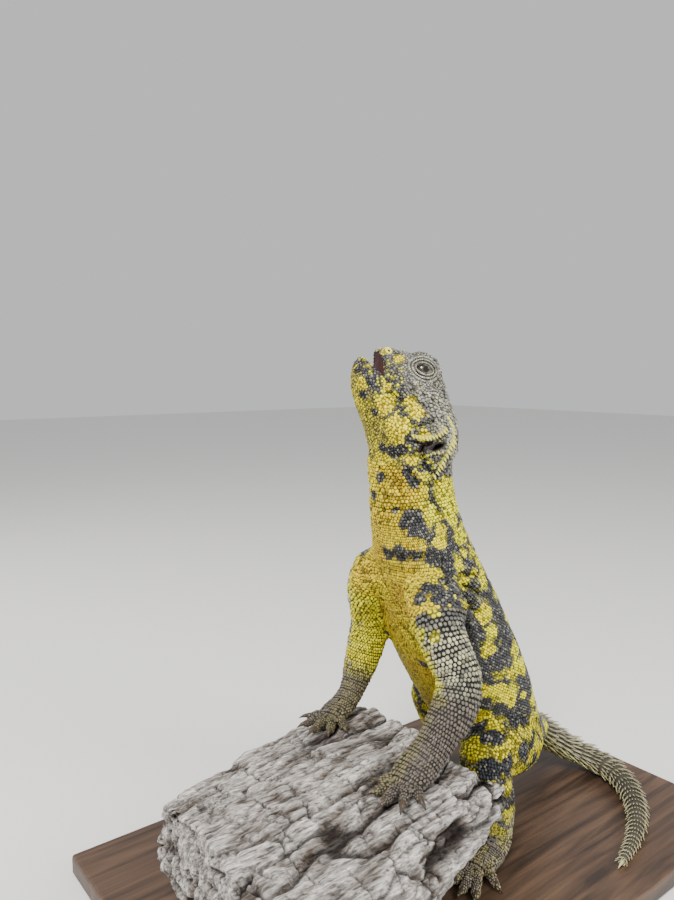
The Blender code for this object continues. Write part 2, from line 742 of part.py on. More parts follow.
def make_face(head):
    """Adds lids and nostril rims to the head, cuts sockets, nostrils and ear slots, and makes the eyes."""
    eyes = []
    for side, name in ((1, "eye_left"), (-1, "eye_right")):
        raised = [head_ball(form, side) for form in (INNER_LID, OUTER_LID, NOSTRIL_RIM)]
        boolean(head, raised, "UNION")
        socket = (EYE_PLACE, [EYE_RADIUS + GAP / MM] * 3)
        for form in [socket, NOSTRIL_PIT] + EAR_SLOTS:
            boolean(head, [head_ball(form, side)], "DIFFERENCE")
        eyes.append(head_ball((EYE_PLACE, [EYE_RADIUS] * 3), side, name, 16, 10))
    return eyes


def add_pointed_scales(node, places, length, radius):
    """Pointed scales on both sides of the head or neck, each with its root sunk in the surface."""
    head = head_matrix()
    tree = BVHTree.FromObject(node, bpy.context.evaluated_depsgraph_get())
    behind = head_direction(0.0, 1.0, 0.0)
    scales = []
    for side in (-1, 1):
        outward = head_direction(side, 0.0, 0.0)
        for back, height in places:
            start = head @ (Vector((40.0 * side, back, height)) * MM)
            place, normal, _, _ = tree.ray_cast(start, -outward)
            way = normal * 0.6 + outward * 0.3 + behind * 0.7
            scales.append(spine(place - normal * 0.3 * MM, way, behind, length, radius))
    return join(node.name, [node] + scales)


def settle(obj, material, holder):
    """Gives the object its material, puts its origin in its own middle, hangs it up and shades it."""
    obj.data.materials.clear()
    obj.data.materials.append(material)
    bpy.context.view_layer.update()
    corners = [Vector(corner) for corner in obj.bound_box]
    middle = sum(corners, Vector()) / 8
    obj.data.transform(Matrix.Translation(-middle))
    obj.matrix_world = Matrix.Translation(middle)
    obj.parent = holder
    obj.data.shade_smooth()
    obj.data.set_sharp_from_angle(angle=SHARP_FROM)


def make_limbs(body):
    """Parts the four limbs from the body and gives each its digits."""
    pieces = []
    for side, inward in (("left", 1), ("right", -1)):
        rows = ARM_LEFT if side == "left" else ARM_RIGHT
        names = (f"arm_upper_{side}", f"forearm_{side}", f"hand_{side}")
        upper, fore, hand = part_limb(body, rows, names, ARM_JOINTS)
        hand = fan(hand, rows, HAND_DIGITS, inward, rows[-1][2] * MM - PALM_THICKNESS)
        rows = LEG_LEFT if side == "left" else LEG_RIGHT
        joints = LEG_LEFT_JOINTS if side == "left" else LEG_RIGHT_JOINTS
        names = (f"thigh_{side}", f"shank_{side}", f"foot_{side}")
        thigh, shank, foot = part_limb(body, rows, names, joints)
        foot = fan(foot, rows, FOOT_DIGITS, inward, GAP)
        boolean(foot, [half_space(UP * GAP, UP)], "INTERSECT")
        pieces += [upper, fore, hand, thigh, shank, foot]
    return pieces


def main():
    clear_scene()
    collection = bpy.data.collections.new(COLLECTION)
    bpy.context.scene.collection.children.link(collection)
    torso = make_whole_body()
    boolean(torso, [head_prism(UPPER_LIP + LOWER_LIP[::-1])], "DIFFERENCE")
    tail_root, _, _, tail_way, _, _ = tail_frame(0.0)
    boolean(torso, [half_space(tail_root - tail_way * GAP, tail_way)], "DIFFERENCE")
    thin(torso, BODY_TRIANGLES)
    limbs = make_limbs(torso)
    head_cut = head_matrix() @ Vector((0.0, HEAD_CUT_BACK * MM, 0.0))
    head = part_at(torso, head_cut, head_direction(0.0, -1.0, 0.12), "head")
    neck = part_at(torso, NECK_CUT, NECK_CUT_LEAN, "neck")
    tongue = head_ball(TONGUE, name="tongue", segments=12, rings=7)
    jaw = part_lower_jaw(head)
    clear_of(jaw, [tongue], GAP)
    clear_of(head, [tongue], GAP)
    eyes = make_face(head)
    head = add_pointed_scales(head, EAR_FRINGE, FRINGE_LENGTH, FRINGE_RADIUS)
    head = add_pointed_scales(head, NAPE_ROW, ROW_LENGTH, ROW_RADIUS)
    neck = add_pointed_scales(neck, NECK_ROW, ROW_LENGTH, ROW_RADIUS)
    clear_of(neck, [head], GAP)
    bark = make_bark()
    boolean(bark, rod_sockets(), "DIFFERENCE")
    clear_of(bark, limbs + [torso], BARK_CLEARANCE)
    base, rods = make_stand()
    nodes = {
        "skin": [torso, head, neck, jaw] + limbs,
        "tail": make_tail(),
        "eye": eyes,
        "tongue": [tongue],
        "cork": [bark],
        "base": [base],
        "rod": rods,
    }
    holder = bpy.data.objects.new("uromastyx_place", None)
    collection.objects.link(holder)
    holder.location = UP * BASE_SIZE.z - BASE_MIDDLE
    for slot, members in nodes.items():
        material = make_material(slot, COLOURS[slot], ROUGHNESS[slot], 0.9 if slot in METALS else 0.0)
        for node in members:
            settle(node, material, holder)


main()
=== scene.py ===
"""The looks of the uromastyx: its skin, scales, eyes, claws, bark and stand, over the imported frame.

Numbers are millimetres in the animal's own frame: it faces -Y, its left side is +X, Z = 0 is the top
of the base. SHIFT takes them to the row frame, which is in metres.
"""

import math
import random
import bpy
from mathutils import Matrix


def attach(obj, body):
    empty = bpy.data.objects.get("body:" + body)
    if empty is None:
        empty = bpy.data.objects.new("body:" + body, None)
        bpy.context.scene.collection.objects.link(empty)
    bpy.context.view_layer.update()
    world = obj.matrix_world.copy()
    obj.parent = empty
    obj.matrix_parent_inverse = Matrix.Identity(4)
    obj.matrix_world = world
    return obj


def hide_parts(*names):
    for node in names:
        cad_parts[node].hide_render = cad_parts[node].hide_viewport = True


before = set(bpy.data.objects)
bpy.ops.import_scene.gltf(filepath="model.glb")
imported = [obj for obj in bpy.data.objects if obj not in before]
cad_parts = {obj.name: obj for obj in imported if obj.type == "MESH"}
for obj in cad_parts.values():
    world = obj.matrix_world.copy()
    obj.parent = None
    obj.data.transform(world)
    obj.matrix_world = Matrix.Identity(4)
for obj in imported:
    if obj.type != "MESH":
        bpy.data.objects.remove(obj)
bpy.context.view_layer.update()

from types import SimpleNamespace

import bmesh
import bpy
import numpy as np
from mathutils import Matrix, Vector, noise
from mathutils.bvhtree import BVHTree
from mathutils.kdtree import KDTree

SHIFT = np.array([0.0, 43.0, 8.0])
SKIN_VOXEL = 0.55
BARK_VOXEL = 0.75
SMOOTHING_ROUNDS = 24
SCALES_IN_PIECE = 8800

# Camera, fitted to the photo
CAMERA_PLACE = (206.1, -248.5, 188.0)
CAMERA_TURN = 52.0
CAMERA_DOWN = 6.0
CAMERA_LENS = 30.0

# The head's own frame: x to the left, y backwards, z to the crown. Its places are on the left side.
HEAD_PLACE = np.array([1.0, -50.0, 161.3])
HEAD_YAW, HEAD_PITCH = math.radians(-25.0), math.radians(66.0)
HEAD_TURN = np.array(Matrix.Rotation(HEAD_YAW, 3, "Z") @ Matrix.Rotation(-HEAD_PITCH, 3, "X"))
EYE = (7.9, -24.8, 9.7)
EYE_LOOK = (0.955, -0.22, 0.13)
EYE_RADIUS = 3.8
NOSTRIL = (5.2, -36.2, 2.1)
NOSTRIL_LOOK = (0.80, -0.42, 0.42)

# The lids' opening and edge as half lengths of their two axes, and how far the long one is turned
LID_TURN = math.radians(40.0)
LID_OPENING = (3.15, 1.75)
LID_REACH = (6.3, 4.9)
LID_BALL = 4.0
# Ridges and creases over the lids: share of the way out, height or depth, width
LID_RIDGES = [(0.09, 0.40, 0.09), (0.43, 0.46, 0.11), (0.78, 0.34, 0.12)]
LID_CREASES = [(0.26, 0.60, 0.075), (0.61, 0.52, 0.07)]
# Rows of small scales over the lids: share of the way out and size
LID_ROWS = [(0.08, 0.66), (0.36, 0.70), (0.46, 0.70), (0.70, 0.80), (0.81, 0.80)]

# The mouth: distance forward on the head with the height of each line, or half the mouth's width
SHUT_LINE = [(8.0, -8.5), (13.0, -5.0), (19.4, -2.7), (28.2, -4.7), (31.0, -3.5)]
LIP_LINE = SHUT_LINE[:4] + [(42.0, -4.0)]
UPPER_LIP = [(14.0, -5.0), (19.4, -2.55), (28.2, -4.45), (31.2, -1.9), (35.0, -0.7), (42.0, -0.3)]
LOWER_LIP = [(14.0, -5.2), (19.4, -2.85), (28.0, -4.90), (33.0, -6.1), (42.0, -7.6)]
MOUTH_WIDTH = [(22.0, 12.6), (27.0, 10.8), (31.0, 9.0), (34.5, 7.2), (37.0, 4.6)]

# The ear's opening as two hollows: distance back, height and half length
EAR_SLOTS = [(-0.9, -2.8, 3.2), (0.9, 2.0, 3.0)]
# Rows of pointed scales: distance back and height on the side of the head at a few places along each
EAR_EDGE = [
    (-7.1, -5.1), (-4.9, -2.3), (-3.8, 0.6), (-3.3, 2.4), (-3.2, 4.6), (-3.4, 6.4), (-3.8, 7.9),
]
EAR_LOWER = [(1.6, -4.5), (2.2, -1.5), (3.0, 1.0), (3.4, 3.6)]
NAPE_EDGE = [
    (-6.8, 10.3), (-4.8, 10.6), (-2.9, 10.4), (-1.4, 10.2), (-0.1, 9.5), (1.3, 8.5), (2.5, 7.3),
    (3.5, 5.7), (4.8, 4.4), (6.1, 3.1), (7.3, 1.7), (8.6, 0.4), (9.7, -1.1), (10.7, -2.7),
]

# Lines through the body that the rows of scales follow: x, y, z and radius at each point
TRUNK = [
    (0.0, 27.0, 24.0, 8.0), (0.0, 15.0, 26.5, 12.0), (0.0, 2.0, 32.0, 18.0), (0.0, -10.5, 49.0, 23.0),
    (0.0, -21.0, 67.0, 25.0), (0.0, -31.0, 84.5, 25.0), (0.0, -39.0, 101.0, 22.5),
    (0.0, -44.5, 116.0, 19.5), (0.0, -48.0, 130.0, 16.5), (0.0, -50.0, 143.0, 15.0),
    (0.0, -50.5, 154.0, 15.0),
]
ARM_LEFT = [
    (19.5, -58.0, 104.0, 10.2), (27.5, -61.5, 93.5, 8.0), (34.0, -60.0, 81.5, 7.7),
    (36.0, -64.0, 73.5, 7.5), (36.0, -69.5, 67.0, 6.3), (35.5, -75.0, 61.0, 5.2), (35.5, -82.5, 56.0, 5.2),
    (36.5, -87.5, 54.4, 4.5),
]
ARM_RIGHT = [
    (-17.5, -54.0, 107.0, 10.2), (-22.5, -53.5, 96.5, 8.0), (-26.0, -49.0, 84.5, 7.6),
    (-27.5, -50.5, 74.0, 7.0), (-27.5, -54.5, 63.5, 6.0), (-26.5, -59.5, 55.0, 5.0),
    (-25.0, -67.0, 51.0, 5.0), (-23.5, -72.0, 50.2, 4.5),
]
LEG_LEFT = [
    (15.0, -8.0, 35.5, 13.0), (20.5, -20.5, 39.5, 12.4), (24.0, -31.5, 42.0, 10.6),
    (25.5, -35.5, 36.0, 9.0), (26.5, -32.5, 26.0, 8.5), (26.5, -29.5, 14.0, 6.7), (27.0, -31.0, 6.0, 5.7),
    (28.5, -39.0, 3.4, 5.0), (30.0, -44.0, 2.9, 4.5),
]
LEG_RIGHT = [
    (-17.0, 3.0, 35.0, 13.0), (-27.0, 2.0, 37.5, 12.4), (-36.0, 1.5, 39.5, 10.6), (-40.0, 0.5, 34.0, 9.0),
    (-38.5, 3.5, 25.0, 8.5), (-37.0, 7.0, 14.0, 6.7), (-37.5, 5.5, 6.0, 5.7), (-41.0, -2.0, 3.4, 5.0),
    (-43.0, -6.5, 2.9, 4.5),
]
# The tail's line, with its half width and half height at each point
TAIL = [
    (0.0, 26.0, 25.0, 8.6, 7.4), (-1.5, 36.5, 18.5, 7.6, 6.6), (3.0, 48.5, 9.4, 6.6, 5.6),
    (14.0, 55.0, 5.4, 5.8, 4.8), (27.0, 53.5, 4.7, 5.0, 4.2), (38.0, 47.0, 4.1, 4.3, 3.6),
    (47.0, 37.5, 3.6, 3.6, 3.1), (54.0, 26.0, 3.0, 2.9, 2.5), (59.0, 13.5, 2.3, 2.1, 1.8),
    (61.5, 3.0, 1.7, 1.2, 1.1),
]
WHORLS = 19

# Digits of a hand and a foot: turn away from the limb's heading in degrees, and length
HAND_DIGITS = [(-58.0, 6.5), (-27.0, 9.0), (0.0, 10.5), (26.0, 9.5), (56.0, 7.0)]
FOOT_DIGITS = [(-36.0, 7.0), (-16.0, 10.5), (2.0, 13.0), (20.0, 13.0), (58.0, 7.5)]
PALM_THICKNESS = 2.6
FOOT_LEVEL = 0.3

LIMB_PARTS = ("arm_upper", "forearm", "hand", "thigh", "shank", "foot")
FLESH = ["torso", "neck", "head", "lower_jaw"]
FLESH += [f"{part}_{side}" for side in ("left", "right") for part in LIMB_PARTS]
TAIL_NODES = ["tail_base", "tail_middle", "tail_tip"]

# Creases of the skin: points along each, depth and width
CREASES = [
    (
        [(-6.0, -66.0, 121.0), (0.6, -63.8, 119.6), (8.2, -62.3, 119.4), (14.6, -58.5, 120.0),
         (18.8, -50.0, 121.8)], 0.7, 1.6,
    ),
    ([(18.2, -52.5, 121.2), (19.5, -53.2, 115.9), (25.6, -57.0, 110.6)], 0.9, 1.3),
    ([(25.0, -52.5, 109.3), (24.5, -46.5, 104.0), (26.0, -41.5, 97.0)], 1.2, 1.2),
    ([(24.0, -50.5, 111.8), (23.0, -44.5, 108.5), (24.4, -38.0, 104.5)], 1.1, 1.1),
    ([(22.5, -49.5, 114.3), (22.0, -43.5, 113.0), (23.4, -37.0, 111.0)], 0.9, 1.1),
    ([(26.0, -54.0, 105.0), (26.5, -49.5, 98.0), (27.5, -46.0, 91.0)], 0.9, 1.1),
    ([(26.0, -54.0, 100.0), (27.0, -49.5, 93.0), (28.0, -46.0, 86.0)], 0.6, 1.1),
    ([(-7.2, -55.0, 93.6), (-0.8, -53.5, 88.5), (4.6, -50.5, 82.6), (11.0, -46.5, 77.5)], 0.5, 1.5),
    ([(13.0, -59.0, 111.0), (12.0, -58.5, 103.0), (13.5, -56.0, 95.0), (14.5, -52.0, 87.0)], 0.9, 1.3),
    ([(5.3, -67.5, 157.8), (11.6, -63.5, 158.1), (14.5, -57.0, 157.5)], 0.55, 1.1),
    ([(9.5, -64.8, 155.0), (12.0, -61.0, 149.0), (12.8, -59.8, 145.5)], 0.7, 0.9),
    ([(5.8, -66.8, 153.0), (8.5, -65.0, 147.0), (9.0, -64.2, 141.5)], 0.6, 0.9),
    ([(14.0, -57.5, 154.5), (14.6, -54.0, 148.5), (14.8, -52.0, 142.0)], 0.7, 1.0),
    ([(1.0, -68.2, 147.0), (4.0, -66.5, 141.5), (5.5, -65.5, 136.0)], 0.5, 1.0),
    ([(-2.0, -66.5, 138.0), (8.0, -64.5, 138.5), (14.5, -58.0, 137.0)], 0.4, 1.1),
    ([(-4.0, -72.5, 180.0), (-2.8, -70.8, 172.0), (-2.5, -69.0, 163.0)], 0.4, 0.9),
    ([(22.5, -36.5, 51.0), (25.5, -31.5, 52.5), (28.5, -25.0, 51.0)], 0.8, 1.3),
    ([(12.8, -65.2, 168.2), (13.9, -61.4, 168.8), (15.2, -57.8, 169.4), (16.4, -53.6, 170.0)], 0.8, 0.9),
    ([(3.5, -69.2, 182.2), (5.9, -67.5, 179.9), (8.0, -65.6, 178.3), (9.8, -64.8, 175.4)], 0.8, 0.7),
    ([(12.2, -53.1, 184.0), (13.2, -50.0, 180.4), (14.0, -47.7, 176.8)], 0.45, 0.6),
    ([(8.5, -63.2, 182.0), (11.4, -59.1, 179.9), (13.8, -54.6, 177.7), (15.3, -51.0, 174.8)], 0.5, 0.6),
    ([(9.2, -63.8, 178.5), (12.1, -59.8, 176.7), (14.3, -57.0, 174.3), (15.9, -53.6, 171.9)], 0.5, 0.7),
    (
        [(12.7, -63.9, 163.3), (13.8, -61.3, 162.5), (15.9, -58.4, 162.8), (17.6, -55.2, 163.8),
         (17.9, -51.6, 165.7)], 0.9, 0.9,
    ),
    ([(-0.8, -68.1, 154.4), (2.7, -67.8, 151.4), (5.4, -66.7, 148.6)], 0.6, 0.9),
    ([(12.6, -59.3, 159.7), (14.1, -58.7, 156.2), (13.7, -57.7, 151.7)], 0.7, 0.9),
    ([(-5.8, -62.0, 116.0), (-5.3, -59.2, 105.7), (-1.6, -56.2, 96.1), (2.6, -52.7, 87.8)], 0.4, 1.0),
]

# Colours of the hide, linear
YELLOW = np.array([0.58, 0.530, 0.006])
BRIGHT = np.array([0.80, 0.765, 0.009])
ORANGE = np.array([0.47, 0.300, 0.006])
CHARCOAL = np.array([0.021, 0.022, 0.027])
GREY = np.array([0.098, 0.094, 0.088])
CREAM = np.array([0.52, 0.49, 0.31])
PALE = np.array([0.52, 0.51, 0.43])
BROWN = np.array([0.15, 0.105, 0.070])

# Dark and bright patches of the left side and front, as the photo shows them: place and radius
DARK_PATCHES = [
    (-6.5, -73.0, 188.4, 1.7), (-0.3, -71.6, 184.6, 2.1), (-3.1, -72.9, 179.4, 2.1),
    (1.0, -71.1, 173.3, 1.6), (12.5, -64.7, 164.7, 1.6), (2.5, -68.0, 160.3, 2.3),
    (6.6, -67.1, 159.4, 2.8), (9.9, -65.8, 160.5, 2.3), (-7.0, -66.0, 158.2, 1.6),
    (0.9, -67.8, 149.4, 2.6), (10.5, -63.6, 152.2, 2.3), (11.6, -61.8, 147.7, 2.7),
    (13.8, -57.4, 153.6, 2.0), (14.7, -52.1, 151.4, 2.5), (11.2, -61.7, 134.2, 4.6),
    (12.6, -60.3, 130.2, 4.0), (5.8, -65.3, 137.5, 1.7), (-3.8, -66.4, 142.1, 1.9),
    (0.5, -63.5, 120.5, 3.0), (6.4, -62.9, 121.2, 3.5), (11.8, -60.5, 121.9, 3.0),
    (16.5, -55.9, 120.7, 3.5), (19.3, -50.9, 119.3, 2.7), (21.0, -51.6, 114.9, 2.7),
    (25.0, -54.5, 111.2, 2.3), (24.1, -44.0, 105.2, 2.5), (23.4, -68.9, 101.5, 2.0),
    (-18.3, -46.3, 80.6, 1.7), (1.9, -45.9, 73.4, 2.3), (28.1, -34.0, 79.3, 4.3), (26.4, -40.7, 90.3, 2.8),
    (21.1, -32.8, 60.2, 4.2), (25.4, -27.1, 58.2, 3.2), (27.2, -20.2, 54.0, 3.9), (28.9, -33.9, 49.5, 3.2),
    (26.5, -37.0, 49.1, 2.2), (21.0, -63.7, 111.7, 2.6), (24.7, -61.6, 111.5, 2.6),
    (27.8, -59.0, 108.9, 2.8), (29.2, -56.5, 106.1, 2.6), (20.9, -66.4, 108.0, 2.4),
    (28.6, -53.1, 102.5, 2.6), (26.9, -62.7, 108.3, 3.0), (25.7, -53.9, 110.8, 2.6),
    (33.0, -22.1, 42.6, 3.4), (31.8, -39.9, 40.3, 3.9), (34.2, -33.0, 41.1, 3.2), (33.5, -33.0, 26.0, 2.6),
]
BRIGHT_PATCHES = [
    (-3.6, -73.2, 183.2, 2.6), (-7.5, -71.7, 176.7, 2.2), (4.6, -68.2, 182.1, 2.0),
    (5.0, -69.1, 176.2, 3.8), (12.3, -61.2, 173.8, 3.3), (10.6, -62.5, 177.0, 2.4),
    (10.0, -68.3, 168.7, 4.4), (9.8, -68.0, 164.7, 3.2), (15.0, -60.0, 165.3, 2.4),
    (11.7, -62.5, 156.2, 2.2), (2.1, -67.8, 155.0, 4.2), (-3.0, -67.6, 151.5, 3.0),
    (14.8, -50.8, 147.1, 2.7), (9.3, -63.9, 144.5, 4.4), (12.9, -59.3, 144.4, 2.9),
    (6.3, -65.5, 141.3, 2.4), (-0.5, -64.0, 194.9, 2.0), (4.0, -62.0, 192.4, 2.2),
    (12.2, -60.5, 125.2, 3.2), (16.6, -52.6, 130.2, 2.6), (17.1, -52.9, 126.2, 3.3),
    (7.1, -60.9, 112.7, 4.5), (11.2, -60.7, 112.4, 4.2), (20.5, -56.8, 114.9, 2.6),
    (22.4, -46.1, 111.6, 2.6), (23.7, -48.6, 109.7, 2.0), (28.1, -57.4, 108.0, 1.7),
    (26.3, -38.6, 98.6, 3.7), (27.5, -37.3, 84.4, 3.5), (23.0, -35.1, 66.7, 4.1), (27.1, -30.0, 66.8, 3.3),
    (27.6, -25.7, 61.8, 4.1), (28.9, -17.7, 62.0, 2.0), (26.0, -30.5, 51.8, 3.4), (17.4, -31.3, 54.4, 3.7),
    (24.3, -40.9, 45.9, 4.8), (32.3, -35.0, 45.8, 3.2), (31.7, -24.8, 47.4, 2.8), (28.4, -13.2, 45.7, 2.3),
    (4.6, -64.8, 129.8, 2.6), (-11.1, -61.0, 122.7, 2.6), (19.7, -43.4, 121.2, 1.9),
    (22.0, -40.6, 113.4, 2.1), (29.3, -26.5, 73.7, 2.2), (30.1, -68.2, 97.2, 2.4),
    (35.6, -70.5, 76.0, 2.2), (27.5, -66.5, 105.6, 2.6), (33.0, -36.0, 31.0, 3.2),
    (31.5, -38.5, 21.5, 3.2), (16.8, -66.9, 105.2, 2.0), (19.9, -68.0, 103.3, 1.8),
    (24.5, -69.0, 97.0, 1.8),
]

# A scale's outline: along and across, as shares of its length and width
OUTLINE = [(0.62, 0.0), (0.30, 0.50), (-0.34, 0.46), (-0.54, 0.0), (-0.34, -0.46), (0.30, -0.50)]
# How high a scale stands for its size, by the line that it grows on
SCALE_RISE = {"trunk": 0.30, "neck": 0.36, "head": 0.34, "arm": 0.42, "leg": 0.34, "digit": 0.34}


def to_row(points):
    return (np.asarray(points, float) + SHIFT) * 0.001


def from_row(points):
    return np.asarray(points, float) * 1000.0 - SHIFT


def to_head(points):
    return (np.asarray(points, float) - HEAD_PLACE) @ HEAD_TURN


def from_head(points):
    return np.asarray(points, float) @ HEAD_TURN.T + HEAD_PLACE


def mirrored(place, side):
    """A place or way on the head's left side, or its mirror image where side is -1."""
    return np.array(place) * np.array([side, 1, 1])


def unit(vectors):
    vectors = np.asarray(vectors, float)
    return vectors / np.maximum(np.linalg.norm(vectors, axis=-1, keepdims=True), 1e-12)


def ramp(value, start, end):
    """0 before start, 1 past end, smooth between."""
    t = np.clip((np.asarray(value, float) - start) / (end - start), 0.0, 1.0)
    return t * t * (3.0 - 2.0 * t)


def on_curve(at, curve):
    return np.interp(at, *zip(*curve))


def mix(a, b, share):
    share = np.clip(share, 0.0, 1.0)[:, None]
    return np.asarray(a) * (1.0 - share) + np.asarray(b) * share


def clouds(points, size, seed=0.0):
    """Smooth noise of about -1 to 1 at each point, with features of a size in millimetres."""
    scale = 1.0 / size
    return np.array([
        noise.noise((x * scale + seed, y * scale - seed * 0.7, z * scale + seed * 1.3)) for x, y, z in points
    ])


def cells(points, size, seed=0.0):
    """Distances to the nearest and second nearest of scattered points, in cell sizes."""
    scale = 1.0 / size
    out = np.empty((len(points), 2))
    for i, (x, y, z) in enumerate(points):
        near = noise.voronoi(Vector((x * scale + seed, y * scale + seed * 0.6, z * scale - seed)))[0]
        out[i] = near[0], near[1]
    return out


def arrays_of(mesh):
    """Points in the row frame and triangles of a mesh."""
    mesh.calc_loop_triangles()
    points = np.empty(len(mesh.vertices) * 3, np.float32)
    mesh.vertices.foreach_get("co", points)
    faces = np.empty(len(mesh.loop_triangles) * 3, np.int32)
    mesh.loop_triangles.foreach_get("vertices", faces)
    return points.reshape(-1, 3).astype(float), faces.reshape(-1, 3)


def put_in_scene(name, data):
    obj = bpy.data.objects.new(name, data)
    bpy.context.scene.collection.objects.link(obj)
    return obj


def mesh_from(name, points, faces):
    """A smooth mesh object from points in the row frame and faces, all with the same count of corners."""
    points = np.asarray(points, np.float32)
    faces = np.asarray(faces, np.int32)
    mesh = bpy.data.meshes.new(name)
    mesh.vertices.add(len(points))
    mesh.vertices.foreach_set("co", points.reshape(-1))
    mesh.loops.add(faces.size)
    mesh.loops.foreach_set("vertex_index", faces.reshape(-1))
    mesh.polygons.add(len(faces))
    mesh.polygons.foreach_set("loop_start", np.arange(0, faces.size, faces.shape[1], dtype=np.int32))
    mesh.update(calc_edges=True)
    shade_smooth(mesh)
    return put_in_scene(name, mesh)


def shade_smooth(mesh):
    mesh.polygons.foreach_set("use_smooth", np.ones(len(mesh.polygons), bool))


def put_points(mesh, points):
    mesh.vertices.foreach_set("co", to_row(points).astype(np.float32).reshape(-1))
    mesh.update()


def set_colours(obj, colours):
    """Stores a colour at each vertex under the name paint."""
    layer = obj.data.attributes.new("paint", "FLOAT_COLOR", "POINT")
    rows = np.ones((len(obj.data.vertices), 4), np.float32)
    rows[:, :3] = colours
    layer.data.foreach_set("color", rows.reshape(-1))


def set_number(obj, name, values):
    layer = obj.data.attributes.new(name, "FLOAT", "POINT")
    layer.data.foreach_set("value", np.asarray(values, np.float32))


def put_uv(obj, places, corners):
    """The map for baking, from a place for each point and the point at each corner of a face."""
    layer = obj.data.uv_layers.new(name="OFBake")
    layer.data.foreach_set("uv", places[corners.reshape(-1)].astype(np.float32).reshape(-1))


def grown(points, faces, size):
    """A closed surface as a bmesh, with its points moved outwards."""
    piece = bmesh.new()
    corners = [piece.verts.new(point) for point in points]
    for face in faces:
        try:
            piece.faces.new([corners[i] for i in face])
        except ValueError:
            # the same face is there already
            pass
    bmesh.ops.remove_doubles(piece, verts=piece.verts, dist=1e-6)
    bmesh.ops.recalc_face_normals(piece, faces=piece.faces)
    piece.normal_update()
    moved = [vert.co + vert.normal * size * 0.001 for vert in piece.verts]
    for vert, place in zip(piece.verts, moved):
        vert.co = place
    piece.verts.index_update()
    return piece


def remeshed(name, parts, voxel, grow):
    """One closed surface round several closed surfaces, each first grown a little."""
    joined = bmesh.new()
    for points, faces in parts:
        piece = grown(points, faces, grow)
        fresh = [joined.verts.new(vert.co) for vert in piece.verts]
        for face in piece.faces:
            joined.faces.new([fresh[vert.index] for vert in face.verts])
        piece.free()
    mesh = bpy.data.meshes.new(name)
    joined.to_mesh(mesh)
    joined.free()
    obj = put_in_scene(name, mesh)
    modifier = obj.modifiers.new("remesh", "REMESH")
    modifier.mode = "VOXEL"
    modifier.voxel_size = voxel * 0.001
    graph = bpy.context.evaluated_depsgraph_get()
    solid = bpy.data.meshes.new_from_object(obj.evaluated_get(graph), depsgraph=graph)
    obj.modifiers.clear()
    obj.data = solid
    solid.name = name
    return obj


def node_part(name):
    """Points in the row frame and triangles of a node."""
    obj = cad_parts[name]
    points, faces = arrays_of(obj.data)
    world = np.array(obj.matrix_world)
    return points @ world[:3, :3].T + world[:3, 3], faces


def edge_pairs(mesh):
    pairs = np.empty(len(mesh.edges) * 2, np.int32)
    mesh.edges.foreach_get("vertices", pairs)
    return pairs.reshape(-1, 2)


def neighbour_mean(values, pairs, count):
    """The mean over each vertex's neighbours."""
    a, b = pairs[:, 0], pairs[:, 1]
    total = np.zeros_like(values)
    for k in range(values.shape[1]):
        total[:, k] = np.bincount(a, values[b, k], count) + np.bincount(b, values[a, k], count)
    degree = np.bincount(a, minlength=count) + np.bincount(b, minlength=count)
    return total / np.maximum(degree, 1)[:, None]


def smoothed(points, pairs, weight, rounds):
    """Evens out the surface and keeps its volume, more where the weight is larger."""
    points = points.copy()
    for _ in range(rounds):
        for step in (0.6, -0.62):
            points += weight[:, None] * step * (neighbour_mean(points, pairs, len(points)) - points)
    return points


def normals_of(mesh):
    out = np.empty(len(mesh.vertices) * 3, np.float32)
    mesh.vertex_normals.foreach_get("vector", out)
    return out.reshape(-1, 3).astype(float)


def tube_faces(rings, sides, closed=False):
    """Triangles between rings of points, and from the last ring back to the first if it is closed."""
    faces = []
    for i in range(rings if closed else rings - 1):
        ahead = (i + 1) % rings
        for j in range(sides):
            k = (j + 1) % sides
            a, b, c, d = i * sides + j, i * sides + k, ahead * sides + k, ahead * sides + j
            faces += [(a, b, c), (a, c, d)]
    return faces


def copies(faces, corners, count):
    """The same faces on each of several copies of a shape."""
    return (np.array(faces)[None] + (np.arange(count) * corners)[:, None, None]).reshape(-1, 3)


def kd_tree(points):
    tree = KDTree(len(points))
    for i, place in enumerate(points):
        tree.insert(place, i)
    tree.balance()
    return tree


def skin_hit(tree, start, way):
    """Where a line over the head, given in the head's frame, meets the skin, and the skin's normal there."""
    start, way = to_row(from_head(start)), HEAD_TURN @ np.asarray(way)
    place, normal, _, _ = tree.ray_cast(Vector(start), Vector(way))
    if place is None:
        return None, None
    return from_row(np.array(place)), np.array(normal)


def distances(path):
    """The distance along a path at each of its points."""
    return np.concatenate([[0.0], np.cumsum(np.linalg.norm(np.diff(path, axis=0), axis=1))])


def on_circle(i, count):
    """The cosine and sine of one of several even turns."""
    turn = 2 * math.pi * i / count
    return math.cos(turn), math.sin(turn)


def hump(value, width):
    """1 where the value is 0, falling off smoothly on both sides."""
    return np.exp(-((value / width) ** 2))


def dense(line, step=2.0, rounds=8):
    """The same line through points close together, rounded where it bends."""
    rows = np.array(line, float)
    ends = distances(rows[:, :3])
    at = np.linspace(0.0, ends[-1], max(int(ends[-1] / step), 3) + 1)
    out = np.stack([np.interp(at, ends, rows[:, k]) for k in range(rows.shape[1])], 1)
    for _ in range(rounds):
        out[1:-1] = out[1:-1] * 0.5 + (out[:-2] + out[2:]) * 0.25
    return out


